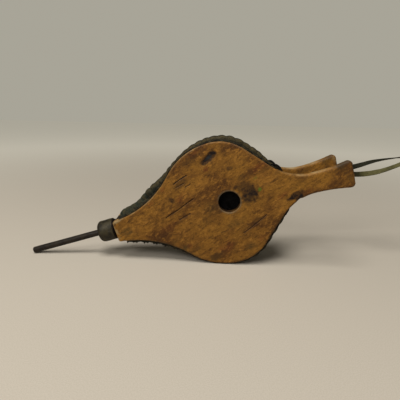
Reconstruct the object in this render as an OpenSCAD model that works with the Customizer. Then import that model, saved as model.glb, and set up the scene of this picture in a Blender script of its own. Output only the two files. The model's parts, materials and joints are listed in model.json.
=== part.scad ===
// Fireside hand bellows: two pear-shaped boards joined by a folded leather skirt over a wire hoop.
// It stands on the edges of its boards and on the tip of its nozzle, with the front board a little open.
// The parts are drawn flat first: x runs from the nose to the handles, y through the boards, z across them.

/* [Boards] */
// Length of a board from its nose to the end of its handle
board_length = 360; // [345:1:390]
// Thickness of a board
board_t = 11; // [9:0.5:14]
// Width across the belly
belly_w = 188.6; // [180:0.2:200]
// Distance of the widest place from the nose
belly_x = 173; // [166:1:180]
// Radius of the shoulder between belly and neck
shoulder_r = 63; // [56:1:70]
// Width of the nose
nose_w = 34; // [30:1:38]
// Radius of the hollow flank between nose and belly
nose_flank_r = 153; // [135:1:175]
// Radius of the corners of the nose
nose_corner_r = 4; // [3:0.5:6]
// Width of the handle at its neck
neck_w = 30; // [26:1:36]
// Distance of the neck behind the widest place
neck_behind = 132; // [126:1:138]
// Radius of the hollow between shoulder and neck
neck_r = 72; // [64:1:80]
// Radius of the flare of the handle
grip_flare_r = 250; // [200:5:320]
// Radius of the corners of the handle
grip_corner_r = 6; // [4:0.5:9]
// Rounding of the edges round the belly
edge_round = 1.8; // [1:0.1:2.2]
// Rounding of the edges of the handle
grip_round = 4; // [2:0.5:4]

/* [Opening] */
// Space between the boards at the nose
nose_gap = 20; // [18:1:26]
// Angle between the boards at rest
rest_wedge = 4.5; // [3:0.5:6]
// Distance of the leather hinge from the nose
hinge_x = 4; // [3:0.5:7]
// Thickness of each leaf of the hinge leather
hinge_leaf_t = 1.4; // [1:0.1:1.8]

/* [Nose and nozzle] */
// Length of the nose block between the boards
block_length = 45; // [36:1:52]
// Room in front of the boards for the front board to swing
nose_room = 5; // [4.5:0.5:7]
// Outside diameter of the ferrule
ferrule_d = 34.5; // [30:0.5:37]
// Wall of the ferrule
ferrule_wall = 1.5; // [1:0.1:2.5]
// Length of the ferrule
ferrule_length = 25; // [18:1:28]
// Radius of the ferrule's front shoulder
ferrule_shoulder_r = 6; // [4:0.5:7]
// Bare neck of the block between ferrule and boards
spigot_bare = 1; // [0.5:0.5:8]
// Outside diameter of the nozzle tube
tube_d = 10; // [9:0.5:12]
// Bore of the nozzle tube
tube_bore = 6.5; // [5:0.5:7]
// Distance of the nozzle tip from the nose
tube_reach = 145; // [130:1:180]
// Length of tube held inside the block
tube_socket = 18; // [12:1:19]
// Step of the tube's diameter where it enters the ferrule
tube_step = 0.6; // [0.4:0.1:1]
// Bore of the air way through the block
airway_d = 9; // [7.5:0.5:10]
// How far the nozzle lies above the middle line of the boards
nozzle_rise = 1; // [0:0.5:3]

/* [Air intake] */
// Diameter of the intake hole
hole_d = 32; // [26:1:36]
// Distance of the intake hole behind the widest place
hole_behind = 8.5; // [0:0.5:16]
// Height of the intake hole above the middle line of the board
hole_up = 3.5; // [0:0.5:6]
// Width by which the flap laps over the hole
flap_lap = 8; // [6:0.5:11]
// Thickness of the flap leather
flap_t = 1.6; // [1.2:0.1:2]
// Thickness of the wooden disc on the flap
disc_t = 3; // [2:0.5:4]
// Width by which the wooden disc laps over the hole
disc_lap = 4; // [2:0.5:5]
// Height of the nailed strip that carries the flap
flap_strip_h = 13; // [11:1:18]

/* [Leather skirt] */
// Thickness of the skirt leather
skirt_t = 1.2; // [1:0.1:1.4]
// Thickness of the leather nailed to the edges of the boards
welt_t = 1.7; // [1:0.1:2]
// How far the ridge over the hoop stands out from the boards
ridge_out = 2; // [1:0.5:4]
// How far the hoop has lifted the ridge across the boards
hoop_lift = 2.6; // [1.5:0.1:5]
// How far the hoop has slid towards the handles
hoop_slide = 4; // [0:0.5:5]
// Extra bulge beside the nose
flank_bulge = 6; // [0:0.5:7]
// Share by which that bulge grows where the folds begin
fold_bulge = 0.6; // [0:0.05:0.7]
// Depth of the two folds inside the edges of the boards
fold_depth = 8; // [5:0.5:10]
// Spacing of the puckers along the ridge
pucker_pitch = 16; // [14:0.5:24]
// Height of the puckers
pucker_h = 1.2; // [0:0.1:1.6]
// Radius of the skirt's turn between belly and neck
neck_turn_r = 14; // [12:0.5:16]

/* [Hoop] */
// Diameter of the wire hoop
hoop_d = 4; // [3:0.5:5]
// Thickness of the leather ties round the hoop
tie_t = 1.1; // [0.8:0.1:1.4]
// Length of a leather tie
tie_length = 14; // [10:1:18]
// Number of leather ties
tie_count = 9; // [5:1:11]

/* [Fasteners] */
// Diameter of a tack head
tack_head_d = 5; // [4:0.5:6]
// Diameter of a tack shank
tack_shank_d = 1.6; // [1.2:0.1:2]
// Length of a tack in the edge of a board
tack_length = 9; // [7:0.5:12]
// Greatest spacing of the tacks round the boards
tack_pitch = 17; // [14:0.5:30]
// Diameter of the screw heads in the back board
screw_head_d = 9; // [7:0.5:10]
// Diameter of the screw shanks
screw_d = 4.4; // [3:0.2:5]
// Length of the screws
screw_length = 22; // [18:1:24]

/* [Thong] */
// Width of the leather thong
thong_w = 8; // [5:0.5:8.5]
// Thickness of the leather thong
thong_t = 1.6; // [1.2:0.1:1.8]
// Diameter of the thong hole
thong_hole_d = 9.4; // [9.4:0.2:11]

/* [Hidden] */

// Clearances
body_gap = 0.3;
fit_gap = 0.05;
$fn = 48;

// Steps of the arcs of the outline
corner_steps = 4;
flank_steps = 14;
belly_steps = 10;
shoulder_steps = 8;
neck_steps = 9;
flare_steps = 5;
nailed_neck_steps = 1;

function unit(v) = v / norm(v);
function mix(a, b, share) = a + (b - a) * share;
function smooth(t) = let (c = min(max(t, 0), 1)) c * c * (3 - 2 * c);
function tail(list) = [for (i = [1 : len(list) - 1]) list[i]];
function reversed(list) = [for (i = [len(list) - 1 : -1 : 0]) list[i]];
function mirrored(list) = reversed([for (p = list) [p.x, -p.y]]);
function on_circle(c, r, a) = c + r * [cos(a), sin(a)];
function arc(c, r, from, to, steps) = [for (k = [0 : steps]) on_circle(c, r, mix(from, to, k / steps))];
function direction(from, to) = atan2(to.y - from.y, to.x - from.x);

// Compass centres of the outline, as [x, z]
belly_r = belly_w / 2;
belly_c = [belly_x, 0];
neck_x = belly_x + neck_behind;
shoulder_c = [belly_x, belly_r - shoulder_r];
nose_point = [0, nose_w / 2];
nose_span = norm(belly_c - nose_point);
nose_way = (belly_c - nose_point) / nose_span;
flank_along = (nose_flank_r ^ 2 - (belly_r + nose_flank_r) ^ 2 + nose_span ^ 2) / (2 * nose_span);
flank_up = sqrt(nose_flank_r ^ 2 - flank_along ^ 2);
flank_c = nose_point + flank_along * nose_way + flank_up * [-nose_way.y, nose_way.x];
corner_up = sqrt((nose_flank_r + nose_corner_r) ^ 2 - (nose_corner_r - flank_c.x) ^ 2);
nose_corner_c = [nose_corner_r, flank_c.y - corner_up];
neck_c = [neck_x, neck_w / 2 + neck_r];
flare_c = [neck_x, neck_w / 2 + grip_flare_r];
grip_end_x = board_length - grip_corner_r;
flare_a = asin((grip_end_x - neck_x) / (grip_flare_r + grip_corner_r));
grip_corner_c = on_circle(flare_c, grip_flare_r + grip_corner_r, 270 + flare_a);

// Directions in which the arcs meet
flank_from = direction(flank_c, nose_corner_c);
flank_to = direction(flank_c, belly_c);
shoulder_span = norm(neck_c - shoulder_c);
shoulder_to = direction(shoulder_c, neck_c) + acos((shoulder_r + neck_r) / shoulder_span);

outline_half = concat(
    arc(nose_corner_c, nose_corner_r, 180, flank_from + 180, corner_steps),
    tail(arc(flank_c, nose_flank_r, flank_from, flank_to, flank_steps)),
    tail(arc(belly_c, belly_r, flank_to + 180, 90, belly_steps)),
    tail(arc(shoulder_c, shoulder_r, 90, shoulder_to, shoulder_steps)),
    arc(neck_c, neck_r, shoulder_to + 180, 270, neck_steps),
    tail(arc(flare_c, grip_flare_r, 270, 270 + flare_a, flare_steps)),
    tail(arc(grip_corner_c, grip_corner_r, 90 + flare_a, 0, corner_steps + 2)));
outline = concat(outline_half, mirrored(outline_half));
outline_count = len(outline);
function outward(list, i) = let (n = len(list), t = unit(list[(i + 1) % n] - list[(i + n - 1) % n])) [-t.y, t.x];
outline_normals = [for (i = [0 : outline_count - 1]) outward(outline, i)];

// Middle of the intake hole, as [x, z]
hole_c = [belly_x + hole_behind, hole_up];

// Places through the boards while they lie parallel
inner_y = nose_gap / 2;
outer_y = inner_y + board_t;
hinge_y = -inner_y + hinge_leaf_t + body_gap / 2;
bead_r = hinge_leaf_t + body_gap / 2 - body_gap;

// The standing pose: belly and nozzle tip both touch the ground
rest_r = belly_r + welt_t;
tip_low = tube_d / 2 - nozzle_rise;
rest_tilt = asin(rest_r / norm([belly_x + tube_reach, tip_low])) - atan(tip_low / (belly_x + tube_reach));
rest_lift = rest_r - belly_x * sin(rest_tilt);
x_low = -tube_reach * cos(rest_tilt) - (tube_d / 2 + nozzle_rise) * sin(rest_tilt);
x_high = max([for (p = outline) p.x * cos(rest_tilt) - p.y * sin(rest_tilt)]);
y_low = hinge_y - (board_length - hinge_x) * sin(rest_wedge) - (outer_y + hinge_y) * cos(rest_wedge);
centre_x = (x_low + x_high) / 2;
centre_y = (y_low + outer_y) / 2;

// Colours
wood_colour = [0.45, 0.31, 0.14];
pale_wood_colour = [0.55, 0.42, 0.24];
leather_colour = [0.17, 0.18, 0.15];
iron_colour = [0.22, 0.2, 0.17];
thong_colour = [0.33, 0.33, 0.26];

module standing() {
    translate([-centre_x, -centre_y, rest_lift]) rotate([0, -rest_tilt, 0]) children();
}

// Turns what is drawn with parallel boards about the leather hinge
module opened(angle) {
    translate([hinge_x, hinge_y, 0]) rotate([0, 0, -angle]) translate([-hinge_x, -hinge_y, 0]) children();
}

function opened_point(p, angle) = let (x = p.x - hinge_x, y = p.y - hinge_y)
    [hinge_x + x * cos(angle) + y * sin(angle), hinge_y - x * sin(angle) + y * cos(angle), p.z];

module on_back() {
    standing() children();
}

module on_front() {
    standing() opened(rest_wedge) children();
}

// A closed surface through rings of points, with flat ends, or joined end to end
module loft(rings, flip = false, joined = false) {
    n = len(rings[0]);
    m = len(rings);
    sides = [for (j = [0 : joined ? m - 1 : m - 2], i = [0 : n - 1])
        let (a = j * n + i, b = j * n + (i + 1) % n, k = (j + 1) % m, c = k * n + (i + 1) % n, d = k * n + i)
        each [[a, b, c], [a, c, d]]];
    ends = joined ? [] : [[for (i = [n - 1 : -1 : 0]) i], [for (i = [0 : n - 1]) (m - 1) * n + i]];
    faces = concat(sides, ends);
    polyhedron([for (r = rings) each r], [for (f = faces) flip ? reversed(f) : f]);
}

// A closed thin strip: each ring goes out along one side and back along the other
module strip(rings, flip = false) {
    n = len(rings[0]);
    m = len(rings);
    last = (m - 1) * n;
    sides = [for (j = [0 : m - 2], i = [0 : n - 1])
        let (a = j * n + i, b = j * n + (i + 1) % n, c = b + n, d = a + n)
        each [[a, b, c], [a, c, d]]];
    first_end = [for (k = [0 : n / 2 - 2]) each [[k + 1, k, n - 1 - k], [k + 1, n - 1 - k, n - 2 - k]]];
    last_end = [for (f = first_end) [for (i = reversed(f)) i + last]];
    faces = concat(sides, first_end, last_end);
    polyhedron([for (r = rings) each r], [for (f = faces) flip ? reversed(f) : f]);
}

// Points along an open line by distance
function lengths(line, i = 0, sum = 0) = i == len(line) - 1 ? [sum]
    : concat([sum], lengths(line, i + 1, sum + norm(line[i + 1] - line[i])));
function along(line, sums, d) =
    let (c = min(max(d, 0), sums[len(sums) - 1]),
        k = [for (i = [0 : len(line) - 2]) if (c <= sums[i + 1]) i][0])
    mix(line[k], line[k + 1], (c - sums[k]) / (sums[k + 1] - sums[k]));
function outward_along(line, sums, d, reach) =
    let (t = unit(along(line, sums, d + reach) - along(line, sums, d - reach))) [-t.y, t.x];

// A board between depths from and to, its edges rounded
grip_from = neck_x - 40;
grip_blend = 35;
function edge_round_at(x) = min(mix(edge_round, grip_round, smooth((x - grip_from) / grip_blend)), board_t / 2 - 0.5);
round_levels = [[0, 1], [1 - cos(45), 1 - sin(45)], [1, 0]];
function face_point(i) = outline[i] - edge_round_at(outline[i].x) * outline_normals[i];
function rim_ring(i, from) =
    let (r = edge_round_at(outline[i].x), n = outline_normals[i],
        near = [for (level = round_levels) [r * level[0], r * level[1]]],
        far = [for (level = reversed(round_levels)) [board_t - r * level[0], r * level[1]]])
    [for (at = concat(near, far)) let (p = outline[i] - at[1] * n) [p.x, from + at[0], p.y]];

module board(from) {
    raised(from, board_t) difference() {
        polygon([for (i = [0 : outline_count - 1]) face_point(i)]);
        children();
    }
    loft([for (i = [0 : outline_count - 1]) rim_ring(i, from)], joined = true);
}

// A shape drawn in x and z, raised from depth y towards +y
module raised(y, thickness) {
    translate([0, y + thickness, 0]) rotate([90, 0, 0]) linear_extrude(thickness) children();
}

module across(p, d, from, to) {
    translate([p.x, to, p.y]) rotate([90, 0, 0]) cylinder(d = d, h = to - from);
}

// Tacks: head flush with z = 0, point downwards
tack_head_h = 0.8;
tack_point = 2.5;
module tack(length) {
    rotate_extrude($fn = 24) polygon([[0, 0], [tack_head_d * 0.32, -tack_head_h * 0.15],
        [tack_head_d / 2, -tack_head_h * 0.75], [tack_shank_d / 2, -tack_head_h],
        [tack_shank_d / 2, tack_point - length], [0, -length]]);
}

// The leather nailed to the edge of a board, and its tacks
nailed_from = corner_steps + 1;
nailed_to = corner_steps + flank_steps + belly_steps + shoulder_steps + 1 + nailed_neck_steps;
welt_margin = edge_round + body_gap;
nailed_line = [for (i = [nailed_from : nailed_to]) outline[i]];
nailed_sums = lengths(nailed_line);
nailed_length = nailed_sums[len(nailed_sums) - 1];
tack_spaces = ceil((nailed_length - tack_head_d * 2) / tack_pitch);
tack_step = (nailed_length - tack_head_d * 2) / tack_spaces;

function welt_ring(i, low, high) = let (p = outline[i], q = p + welt_t * outline_normals[i])
    [[p.x, low, p.y], [p.x, high, p.y], [q.x, high, q.y], [q.x, low, q.y]];

module welt(low, high) {
    loft([for (i = [nailed_from : nailed_to]) welt_ring(i, low, high)], flip = true);
    loft([for (i = [outline_count - 1 - nailed_to : outline_count - 1 - nailed_from]) welt_ring(i, low, high)],
        flip = true);
}

// A row of tacks as one surface; places holds each head's middle and the way it faces, square to y
row_sides = 8;
row_rings = [[tack_head_d / 2, -tack_head_h * 0.75], [tack_shank_d / 2, -tack_head_h],
    [tack_shank_d / 2, tack_point - tack_length]];
row_points = len(row_rings) * row_sides + 2;
function row_tack(p, n) = let (side = cross(n, [0, 1, 0]))
    concat([p], [for (ring = row_rings, k = [0 : row_sides - 1]) let (a = 360 * k / row_sides)
        p + ring[1] * n + ring[0] * (cos(a) * [0, 1, 0] + sin(a) * side)], [p - tack_length * n]);
function row_faces(first) = let (last = first + row_points - 1) [for (k = [0 : row_sides - 1])
    let (a = first + 1 + k, b = first + 1 + (k + 1) % row_sides, low = (len(row_rings) - 1) * row_sides)
    each concat([[first, a, b], [last, b + low, a + low]], [for (r = [0 : len(row_rings) - 2]) let (s = r * row_sides)
        each [[a + s, a + s + row_sides, b + s + row_sides], [a + s, b + s + row_sides, b + s]]])];

module tack_row(places) {
    polyhedron([for (at = places) each row_tack(at[0], at[1])],
        [for (k = [0 : len(places) - 1]) each row_faces(k * row_points)]);
}

module edge_tacks(y) {
    tack_row([for (side = [-1, 1], k = [0 : tack_spaces])
        let (d = tack_head_d + k * tack_step, p = along(nailed_line, nailed_sums, d),
            n = outward_along(nailed_line, nailed_sums, d, 0.5), q = p + welt_t * n)
        [[q.x, y, side * q.y], [n.x, 0, side * n.y]]]);
}

// The line that the skirt follows: beside the nose, round the belly, and across between the handles
turn_n = outline_normals[nailed_to];
turn_c = outline[nailed_to] - neck_turn_r * turn_n;
skirt_half = concat(nailed_line, tail(arc(turn_c, neck_turn_r, atan2(turn_n.y, turn_n.x), 0, 5)));
skirt_line = concat(skirt_half, mirrored(skirt_half));
skirt_sums = lengths(skirt_line);
skirt_length = skirt_sums[len(skirt_sums) - 1];
skirt_steps = 2 * round(skirt_length / pucker_pitch);
cross_x = turn_c.x + neck_turn_r;

// How the skirt folds at a place of that line
fold_from = block_length + 2;
fold_blend = 35;
bulge_from = hinge_x;
bulge_rise = 14;
bulge_to = block_length + 83;
bulge_fall = 56;
fold_bulge_from = block_length - 3;
fold_bulge_rise = 28;
crossing_ridge = 2;
lap = 1.3;
wrap_blend = 14;
neck_blend = 34;
skin_out = body_gap + skirt_t / 2 + 0.15;
flange = 5;
function gap_at(x) = nose_gap + (x - hinge_x) * tan(rest_wedge);
function fold_at(x) = smooth((x - fold_from) / fold_blend);
function bulge_at(x) = smooth((x - bulge_from) / bulge_rise) * smooth((bulge_to - x) / bulge_fall)
    * (1 + fold_bulge * smooth((x - fold_bulge_from) / fold_bulge_rise));
function hoop_shift(n) = n.x * hoop_slide + n.y * hoop_lift;
function crossing(d, blend) = smooth((min(d, skirt_length - d) - nailed_length + blend) / blend);
function ridge_at(p, n, d) =
    let (hooped = mix(ridge_out + hoop_shift(n), crossing_ridge, crossing(d, neck_blend)))
    mix(skin_out + skirt_t / 2, hooped, fold_at(p.x)) + flank_bulge * bulge_at(p.x);
function pucker(p, k) = pucker_h / 2 * (k % 2 == 0 ? 1 : -1) * fold_at(p.x);

// Middle line of one panel's section, as [distance from the board, distance out of the line]
function section(p, n, d, k) =
    let (half = gap_at(p.x) / 2, folded = fold_at(p.x), cross = crossing(d, wrap_blend),
        ridge = ridge_at(p, n, d) + pucker(p, k), hollow = skin_out + flank_bulge * bulge_at(p.x) / 2,
        valley = mix(hollow, -fold_depth, folded))
    [[mix(-lap, body_gap + skirt_t / 2, cross), skin_out + flange * cross * cross],
        [skirt_t, mix(skin_out, skirt_t / 2, folded)],
        [half * 0.3, valley],
        [half * 0.62, ridge - skirt_t * folded],
        [half, ridge]];
function section_normal(s, i) = i == len(s) - 1 ? [0, 1]
    : let (t = unit(s[i + 1] - s[max(i - 1, 0)])) [-t.y, t.x];
function skirt_point(p, n, at, front) =
    let (share = at.x / gap_at(p.x), f = front ? 1 - share : share)
    opened_point([p.x + n.x * at.y, inner_y - nose_gap * f, p.y + n.y * at.y], rest_wedge * f);
function skirt_ring(k, front) =
    let (d = skirt_length * k / skirt_steps, p = along(skirt_line, skirt_sums, d),
        n = outward_along(skirt_line, skirt_sums, d, 3), s = section(p, n, d, k), m = len(s),
        outer = [for (i = [0 : m - 1]) s[i] + skirt_t / 2 * section_normal(s, i)],
        inner = [for (i = [m - 1 : -1 : 0]) s[i] - skirt_t / 2 * section_normal(s, i)])
    [for (at = concat(outer, inner)) skirt_point(p, n, at, front)];

module skirt_panel(front) {
    strip([for (k = [0 : skirt_steps]) skirt_ring(k, front)], flip = !front);
}

// The wire hoop under the ridge
hoop_from_x = block_length + 14;
hoop_step = 9;
hoop_start = [for (i = [0 : len(skirt_line) - 1]) if (skirt_line[i].x > hoop_from_x) skirt_sums[i]][0];
hoop_run = skirt_length - 2 * hoop_start;
hoop_steps = round(hoop_run / hoop_step);
hoop_under = skirt_t / 2 + pucker_h / 2 + tie_t + hoop_d / 2 + body_gap;
hoop_sides = 8;
function hoop_ring(d, r) =
    let (p = along(skirt_line, skirt_sums, d), n = outward_along(skirt_line, skirt_sums, d, 3),
        o = ridge_at(p, n, d) - hoop_under)
    [for (i = [0 : hoop_sides - 1]) let (a = 360 * i / hoop_sides, out = o + r * cos(a))
        opened_point([p.x + n.x * out, r * sin(a), p.y + n.y * out], rest_wedge / 2)];

// Route of the thong, both strands from the middle of the handle to the knot, as [x, y, z] and roll
thong_hole = [346, -3];
thong_inner = [
    [[346, 15.5, -3], 0], [[346, 11.5, -3], 0], [[347, 9.2, -3.3], 0], [[350, 8.6, -4.5], 0],
    [[355, 8.5, -7], 0], [[361, 8.4, -10], 1], [[371, 8.3, -14.8], 3], [[382, 8.1, -19], 5],
    [[394, 8, -22], 7], [[408, 8.1, -24.3], 8], [[424, 8.6, -25.3], 10], [[440, 9.5, -24.8], 11],
    [[457, 10.8, -23.4], 11], [[476, 12.9, -21.2], 7], [[495, 15.5, -18.5], 0]];
thong_outer = [
    [[346, 15.5, -3], 0], [[346, 19.5, -3], 0], [[347, 21.8, -3.2], 0], [[350, 22.4, -4], 0],
    [[358, 22.4, -6], -5], [[367, 22.45, -8], -18], [[378, 22.5, -10], -38], [[390, 22.6, -11.1], -58],
    [[404, 22.5, -11], -76], [[420, 22.2, -10.7], -92], [[436, 21.5, -11.9], -106], [[452, 20.4, -14], -122],
    [[468, 19.2, -16.3], -142], [[482, 18, -17.6], -162], [[495, 17.3, -18.5], -180]];
knot_c = [499, 16.4, -18.6];
knot_d = 13;
knot_length = 15;
knot_tail = 26;

function strap_ring(route, i) =
    let (p = route[i][0], last = len(route) - 1,
        t = unit(route[min(i + 1, last)][0] - route[max(i - 1, 0)][0]),
        flat = unit([0, 0, 1] - t.z * t), thin = cross(t, flat), roll = route[i][1],
        w = flat * cos(roll) + thin * sin(roll), h = thin * cos(roll) - flat * sin(roll))
    [for (q = [[-1, -1], [1, -1], [1, 1], [-1, 1]]) p + q.x * thong_w / 2 * w + q.y * thong_t / 2 * h];

module strap(route) {
    loft([for (i = [0 : len(route) - 1]) strap_ring(route, i)]);
}

// Screws from the back board into the block
screw_places = [[14, 0], [32, 0]];
screw_cone = 3;
module screw(p, gap) {
    translate([p.x, outer_y, p.y]) rotate([90, 0, 0]) rotate_extrude($fn = 32) polygon([
        [0, 0], [screw_head_d / 2 + gap, 0], [screw_d / 2 + gap, screw_cone + gap],
        [screw_d / 2 + gap, screw_length - screw_d + gap], [0, screw_length + gap]]);
}

// Nose block: tongue between the boards, spigot in front, air way through both
block_front_y = hinge_y + bead_r + body_gap;
block_inset = 0.2;
spigot_d = ferrule_d - 2 * ferrule_wall;
spigot_from = nose_room + spigot_bare;
spigot_to = spigot_from + ferrule_length - ferrule_shoulder_r;
socket_end = spigot_to - tube_socket;
ferrule_front = spigot_from + ferrule_length;
seat_d = tube_d - tube_step;

// Turns a shape about the nozzle's line, z pointing to the nozzle tip, from a distance in front of the nose
module along_nozzle(from) {
    translate([-from, 0, nozzle_rise]) rotate([0, -90, 0]) children();
}

// Half profile of a round cap with a rounded shoulder
module cap_profile(r, length, shoulder) {
    square([r, length - shoulder]);
    square([r - shoulder, length]);
    translate([r - shoulder, length - shoulder]) intersection() {
        circle(shoulder);
        square(shoulder);
    }
}

module back_board() {
    color(wood_colour) on_back() difference() {
        board(inner_y) translate(thong_hole) circle(d = thong_hole_d);
        for (p = screw_places) screw(p, fit_gap);
    }
}

module front_board() {
    color(wood_colour) on_front() board(-outer_y) translate(hole_c) circle(d = hole_d);
}

module nose_block() {
    depth = inner_y - block_front_y;
    nose_flat = nose_w - 2 * nose_corner_r;
    color(pale_wood_colour) on_back() difference() {
        union() {
            raised(block_front_y, depth) intersection() {
                polygon([for (i = [0 : outline_count - 1]) outline[i] - block_inset * outline_normals[i]]);
                translate([0, -nose_w]) square([block_length, 2 * nose_w]);
            }
            raised(block_front_y, depth) translate([-nose_room, -nose_flat / 2])
                square([nose_room + nose_corner_r, nose_flat]);
            along_nozzle(nose_room) cylinder(d = spigot_d, h = spigot_to - nose_room);
        }
        along_nozzle(socket_end) cylinder(d = seat_d + 2 * fit_gap, h = tube_socket + 1);
        along_nozzle(-block_length - 1) cylinder(d = airway_d, h = block_length + socket_end + 2);
        for (p = screw_places) screw(p, fit_gap);
    }
}

module block_screws() {
    color(iron_colour) on_back() for (p = screw_places) screw(p, 0);
}

module ferrule() {
    color(iron_colour) on_back() along_nozzle(spigot_from) rotate_extrude() difference() {
        cap_profile(ferrule_d / 2, ferrule_length, ferrule_shoulder_r);
        translate([0, -1]) cap_profile(spigot_d / 2 + fit_gap, ferrule_length - ferrule_wall + 1,
            ferrule_shoulder_r - ferrule_wall);
        translate([0, -1]) square([seat_d / 2 + fit_gap, ferrule_length + 2]);
    }
}

// Pins round the ferrule, near its back rim
pin_count = 3;
pin_place = 6;
pin_length = 10;
module ferrule_pins() {
    color(iron_colour) on_back() along_nozzle(spigot_from + pin_place) for (k = [0 : pin_count - 1])
        rotate([0, 0, 30 + 360 * k / pin_count]) translate([ferrule_d / 2 + tack_head_h / 2, 0, 0])
            rotate([0, 90, 0]) tack(pin_length);
}

module nozzle_tube() {
    color(iron_colour) on_back() difference() {
        union() {
            along_nozzle(socket_end) cylinder(d = seat_d, h = ferrule_front - socket_end);
            along_nozzle(ferrule_front) cylinder(d = tube_d, h = tube_reach - ferrule_front);
        }
        along_nozzle(socket_end - 1) cylinder(d = tube_bore, h = tube_reach);
    }
}

// Leather hinge: a fold across the nose, one leaf on the block and one on the front board
leaf_half = nose_w / 2 - nose_corner_r;
leaf_end = block_length - 5;
module leaf_shape(from) {
    translate([from, -leaf_half]) square([leaf_end - from, 2 * leaf_half]);
}

module hinge_block_leaf() {
    color(leather_colour) on_back() {
        translate([hinge_x, hinge_y, -leaf_half]) cylinder(r = bead_r, h = 2 * leaf_half);
        raised(hinge_y + body_gap / 2, block_front_y - hinge_y - body_gap / 2) leaf_shape(hinge_x);
    }
}

module hinge_board_leaf() {
    color(leather_colour) on_front() raised(-inner_y, hinge_leaf_t) leaf_shape(hinge_x + bead_r + body_gap);
}

// Tacks of the hinge leaf, in the inside of the front board
hinge_tack_length = 8;
hinge_tack_x = [14, 32];
module hinge_tacks() {
    color(iron_colour) on_front() for (x = hinge_tack_x, z = [-leaf_half / 2, leaf_half / 2])
        translate([x, hinge_leaf_t - inner_y, z]) rotate([-90, 0, 0]) tack(hinge_tack_length);
}

module back_welt() {
    color(leather_colour) on_back() welt(inner_y + welt_margin, outer_y - welt_margin);
}

module front_welt() {
    color(leather_colour) on_front() welt(-outer_y + welt_margin, -inner_y - welt_margin);
}

module back_tacks() {
    color(iron_colour) on_back() edge_tacks((inner_y + outer_y) / 2);
}

module front_tacks() {
    color(iron_colour) on_front() edge_tacks(-(inner_y + outer_y) / 2);
}

module skirt_back_panel() {
    color(leather_colour) standing() skirt_panel(false);
}

module skirt_front_panel() {
    color(leather_colour) standing() skirt_panel(true);
}

module wire_hoop() {
    color(iron_colour) standing() loft([for (k = [0 : hoop_steps])
        hoop_ring(hoop_start + hoop_run * k / hoop_steps, hoop_d / 2)]);
}

module hoop_ties() {
    r_in = hoop_d / 2 + fit_gap;
    r_out = r_in + tie_t;
    color(leather_colour) standing() for (k = [1 : tie_count]) {
        d = hoop_start + hoop_run * k / (tie_count + 1);
        places = [for (at = [-1, 0, 1]) d + at * tie_length / 2];
        loft(concat([for (at = places) hoop_ring(at, r_out)], [for (at = reversed(places)) hoop_ring(at, r_in)]),
            joined = true);
    }
}

// Valve: a leather flap behind the intake hole, hung from a nailed strip
flap_r = hole_d / 2 + flap_lap;
flap_axis_z = hole_up + flap_r + 2;
flap_y = -inner_y + body_gap;
flap_axis_y = flap_y + flap_t / 2;
module flap_strip() {
    color(leather_colour) on_front() raised(-inner_y, flap_t)
        translate([hole_c.x - flap_r, flap_axis_z + flap_t / 2 + body_gap]) square([2 * flap_r, flap_strip_h]);
}

flap_tack_count = 4;
flap_tack_length = 8;
module flap_strip_tacks() {
    step = 2 * flap_r / flap_tack_count;
    z = flap_axis_z + flap_t / 2 + body_gap + flap_strip_h / 2;
    color(iron_colour) on_front() for (k = [0 : flap_tack_count - 1])
        translate([hole_c.x - flap_r + (k + 0.5) * step, flap_t - inner_y, z]) rotate([-90, 0, 0])
            tack(flap_tack_length);
}

rivet_d = 2.4;
rivet_head_d = 6;
rivet_head_h = 1;
rivet_out = hole_d / 4;
rivet_places = [for (side = [-1, 1]) hole_c + [side * rivet_out, 0]];
module valve_flap() {
    color(leather_colour) on_front() difference() {
        union() {
            raised(flap_y, flap_t) {
                translate(hole_c) circle(flap_r);
                translate([hole_c.x - flap_r, hole_c.y]) square([2 * flap_r, flap_axis_z - hole_c.y]);
            }
            translate([hole_c.x - flap_r, flap_axis_y, flap_axis_z]) rotate([0, 90, 0])
                cylinder(d = flap_t, h = 2 * flap_r);
        }
        for (p = rivet_places) across(p, rivet_d + 2 * fit_gap, flap_y - 1, flap_y + flap_t + 1);
    }
}

module valve_disc() {
    color(pale_wood_colour) on_front() difference() {
        across(hole_c, hole_d + 2 * disc_lap, flap_y + flap_t, flap_y + flap_t + disc_t);
        for (p = rivet_places) across(p, rivet_d + 2 * fit_gap, flap_y, flap_y + flap_t + disc_t + 1);
    }
}

module valve_rivets() {
    top = flap_y + flap_t + disc_t;
    color(iron_colour) on_front() for (p = rivet_places) {
        across(p, rivet_d, flap_y - rivet_head_h, top + rivet_head_h);
        across(p, rivet_head_d, flap_y - rivet_head_h, flap_y);
        across(p, rivet_head_d, top, top + rivet_head_h);
    }
}

module thong_inner_strand() {
    color(thong_colour) on_back() strap(thong_inner);
}

module thong_outer_strand() {
    color(thong_colour) on_back() strap(thong_outer);
}

// The knot is a short barrel with the two ends of the thong beyond it
module thong_knot() {
    color(thong_colour) on_back() translate(knot_c) rotate([0, 90, 0]) {
        rotate_extrude($fn = 32) polygon([[0, -knot_length / 2], [knot_d * 0.35, -knot_length / 2],
            [knot_d / 2, -knot_length / 4], [knot_d / 2, knot_length / 4],
            [knot_d * 0.35, knot_length / 2], [0, knot_length / 2]]);
        for (side = [-1, 1]) rotate([side * 12, 0, 0])
            translate([-thong_w / 2, side * thong_t - thong_t / 2, 0]) cube([thong_w, thong_t, knot_tail]);
    }
}

back_board();
nose_block();
block_screws();
ferrule();
ferrule_pins();
nozzle_tube();
hinge_block_leaf();
back_welt();
back_tacks();
thong_inner_strand();
thong_outer_strand();
thong_knot();
wire_hoop();
hoop_ties();
skirt_back_panel();
skirt_front_panel();
front_board();
front_welt();
front_tacks();
hinge_board_leaf();
hinge_tacks();
flap_strip();
flap_strip_tacks();
valve_flap();
valve_disc();
valve_rivets();
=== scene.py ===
import json
import math
import random

import bpy
import numpy as np
from mathutils import Matrix, Vector, noise


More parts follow.
